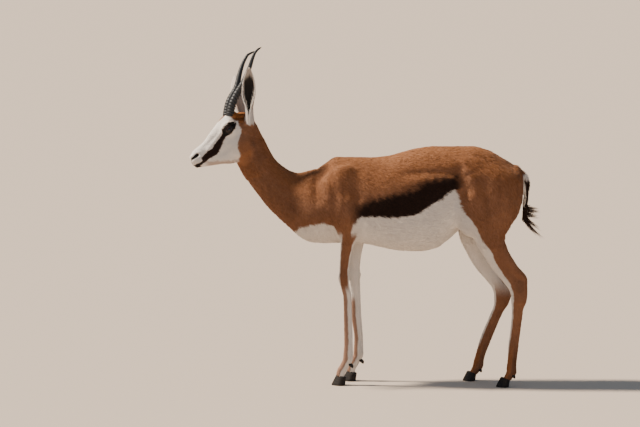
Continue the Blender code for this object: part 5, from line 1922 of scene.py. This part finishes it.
# what the tufts need to know of the skin, for each of its triangles
skin.data.calc_loop_triangles()
count = len(skin.data.loop_triangles)
corners = np.empty(count * 3, np.int32)
skin.data.loop_triangles.foreach_get("vertices", corners)
loops = np.empty(count * 3, np.int32)
skin.data.loop_triangles.foreach_get("loops", loops)
uv = np.empty(len(skin.data.loops) * 2, np.float32)
skin.data.uv_layers[0].data.foreach_get("uv", uv)
points, normals = placesOf(skin.data), normalsOf(skin.data)
corners = corners.reshape(-1, 3)
spots = points[corners]
skinFacts = {
    "points": points,
    "normals": normals,
    "corners": corners,
    "uv": uv.reshape(-1, 2)[loops].reshape(-1, 3, 2),
    "middle": spots.mean(1),
    "area": np.linalg.norm(np.cross(spots[:, 1] - spots[:, 0], spots[:, 2] - spots[:, 0]), axis=1),
}
skin.data.uv_layers[0].name = "OFBake"
paint(skin.data, "marks", "FLOAT_COLOR", markings(points, normals))
paint(skin.data, "tone", "FLOAT", toneOf(points, normals))
print("skin painted")

hairTone = hairToneGroup()
coatLook = hairMaterial("coatHair", hairTone, False)
blackHair = plainHair("blackHair", "black")
whiteHair = plainHair("whiteHair", "white")
give(skin, hairMaterial("skinHair", hairTone, True))

names = regionOf(skinFacts["middle"])
for name, sizes in coatSet.items():
    coat = tuftMesh("coat" + name[0].upper() + name[1:], *scatter(names, name), sizes)
    give(coat, coatLook)
    print("coat:", name, len(coat.data.polygons), "triangles")

give(tailTuft(), blackHair)
hornLook, hoofLook, eyeLook = hornMaterial(), hoofMaterial(), eyeMaterial()
lidLook = newMaterial("lid", 0.5, **{"Base Color": rgba("black"), "Specular IOR Level": 0.25})[0]
for word, side in (("Left", 1), ("Right", -1)):
    give(horn("horn" + word, side), hornLook)
    give(eyeBall("eye" + word, side), eyeLook)
    give(lidRim("lidRim" + word, side), lidLook)
    give(lashes("lashes" + word, side), blackHair)
    give(earHair("earHair" + word, side), whiteHair)
for foot in feet:
    claw = np.sign(feet[foot][2])
    word = foot[0].upper() + foot[1:]
    for part, way in (("Outer", claw), ("Inner", -claw)):
        give(hoof("hoof" + word + part, feet[foot], way), hoofLook)
        give(dewclaw("dewclaw" + word + part, dewclaws[foot], way), hoofLook)
print("tail tuft, horns, eyes, ear hair and hooves made")

# the skin stands for every node of flesh, and each other piece for the node of its name
allNodes = sorted(frame["nodes"])
ownPiece = ("horn", "eye", "hoof", "dewclaw", "tail_tuft")
fleshNodes = [name for name in allNodes if not name.startswith(ownPiece)]
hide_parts(*fleshNodes)


def replaceLoose():
    for obj in list(bpy.data.objects):
        name = "".join("_" + c.lower() if c.isupper() else c for c in obj.name)
        if name in allNodes and obj is not frame["nodes"][name] and obj.type == "MESH":
            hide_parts(name)


replaceLoose()
print("nodes replaced")


# light, floor and camera
def aimed(obj, place, target):
    obj.location = place
    obj.rotation_euler = (Vector(target) - Vector(place)).to_track_quat("-Z", "Y").to_euler()


sunSet = {"from": (-0.634, 0.03, 0.772), "power": 9.0, "spread": 6.0, "colour": (1.0, 0.90, 0.77)}
sun = bpy.data.lights.new("key", "SUN")
sun.energy = sunSet["power"]
sun.angle = math.radians(sunSet["spread"])
sun.color = sunSet["colour"]
linked("key", sun).rotation_euler = Vector(sunSet["from"]).to_track_quat("Z", "Y").to_euler()

fillSet = {
    "place": (1.0, -4.8, 1.4), "target": (0, 0, 0.5), "size": 4.0, "power": 30,
    "colour": (1.0, 0.95, 0.90),
}
fill = bpy.data.lights.new("fill", "AREA")
fill.shape = "DISK"
fill.size = fillSet["size"]
fill.energy = fillSet["power"]
fill.color = fillSet["colour"]
fillLamp = linked("fill", fill)
aimed(fillLamp, fillSet["place"], fillSet["target"])

half = 60  # half the floor's width
ground = listMesh(
    "floor", [(-half, -half, 0), (half, -half, 0), (half, half, 0), (-half, half, 0)], [(0, 1, 2, 3)]
)
floorLook = newMaterial("floor", 0.9, **{"Base Color": rgba("floor"), "Specular IOR Level": 0.1})[0]
ground.data.materials.append(floorLook)

skySet = {"colour": (0.60, 0.77, 1.0, 1), "strength": 0.42}
world = bpy.data.worlds.new("soft")
world.use_nodes = True
sky = world.node_tree.nodes["Background"]
sky.inputs["Color"].default_value = skySet["colour"]
sky.inputs["Strength"].default_value = skySet["strength"]
bpy.context.scene.world = world

cameraSet = {"place": (0.4025, -15.871, 2.524), "target": (-0.1517, 0.0, 0.5738), "lens": 268.7}
camera = linked("camera", bpy.data.cameras.new("camera"))
camera.data.lens = cameraSet["lens"]
camera.data.clip_end = 200
aimed(camera, cameraSet["place"], cameraSet["target"])
bpy.context.scene.camera = camera
print("floor, light and camera placed")
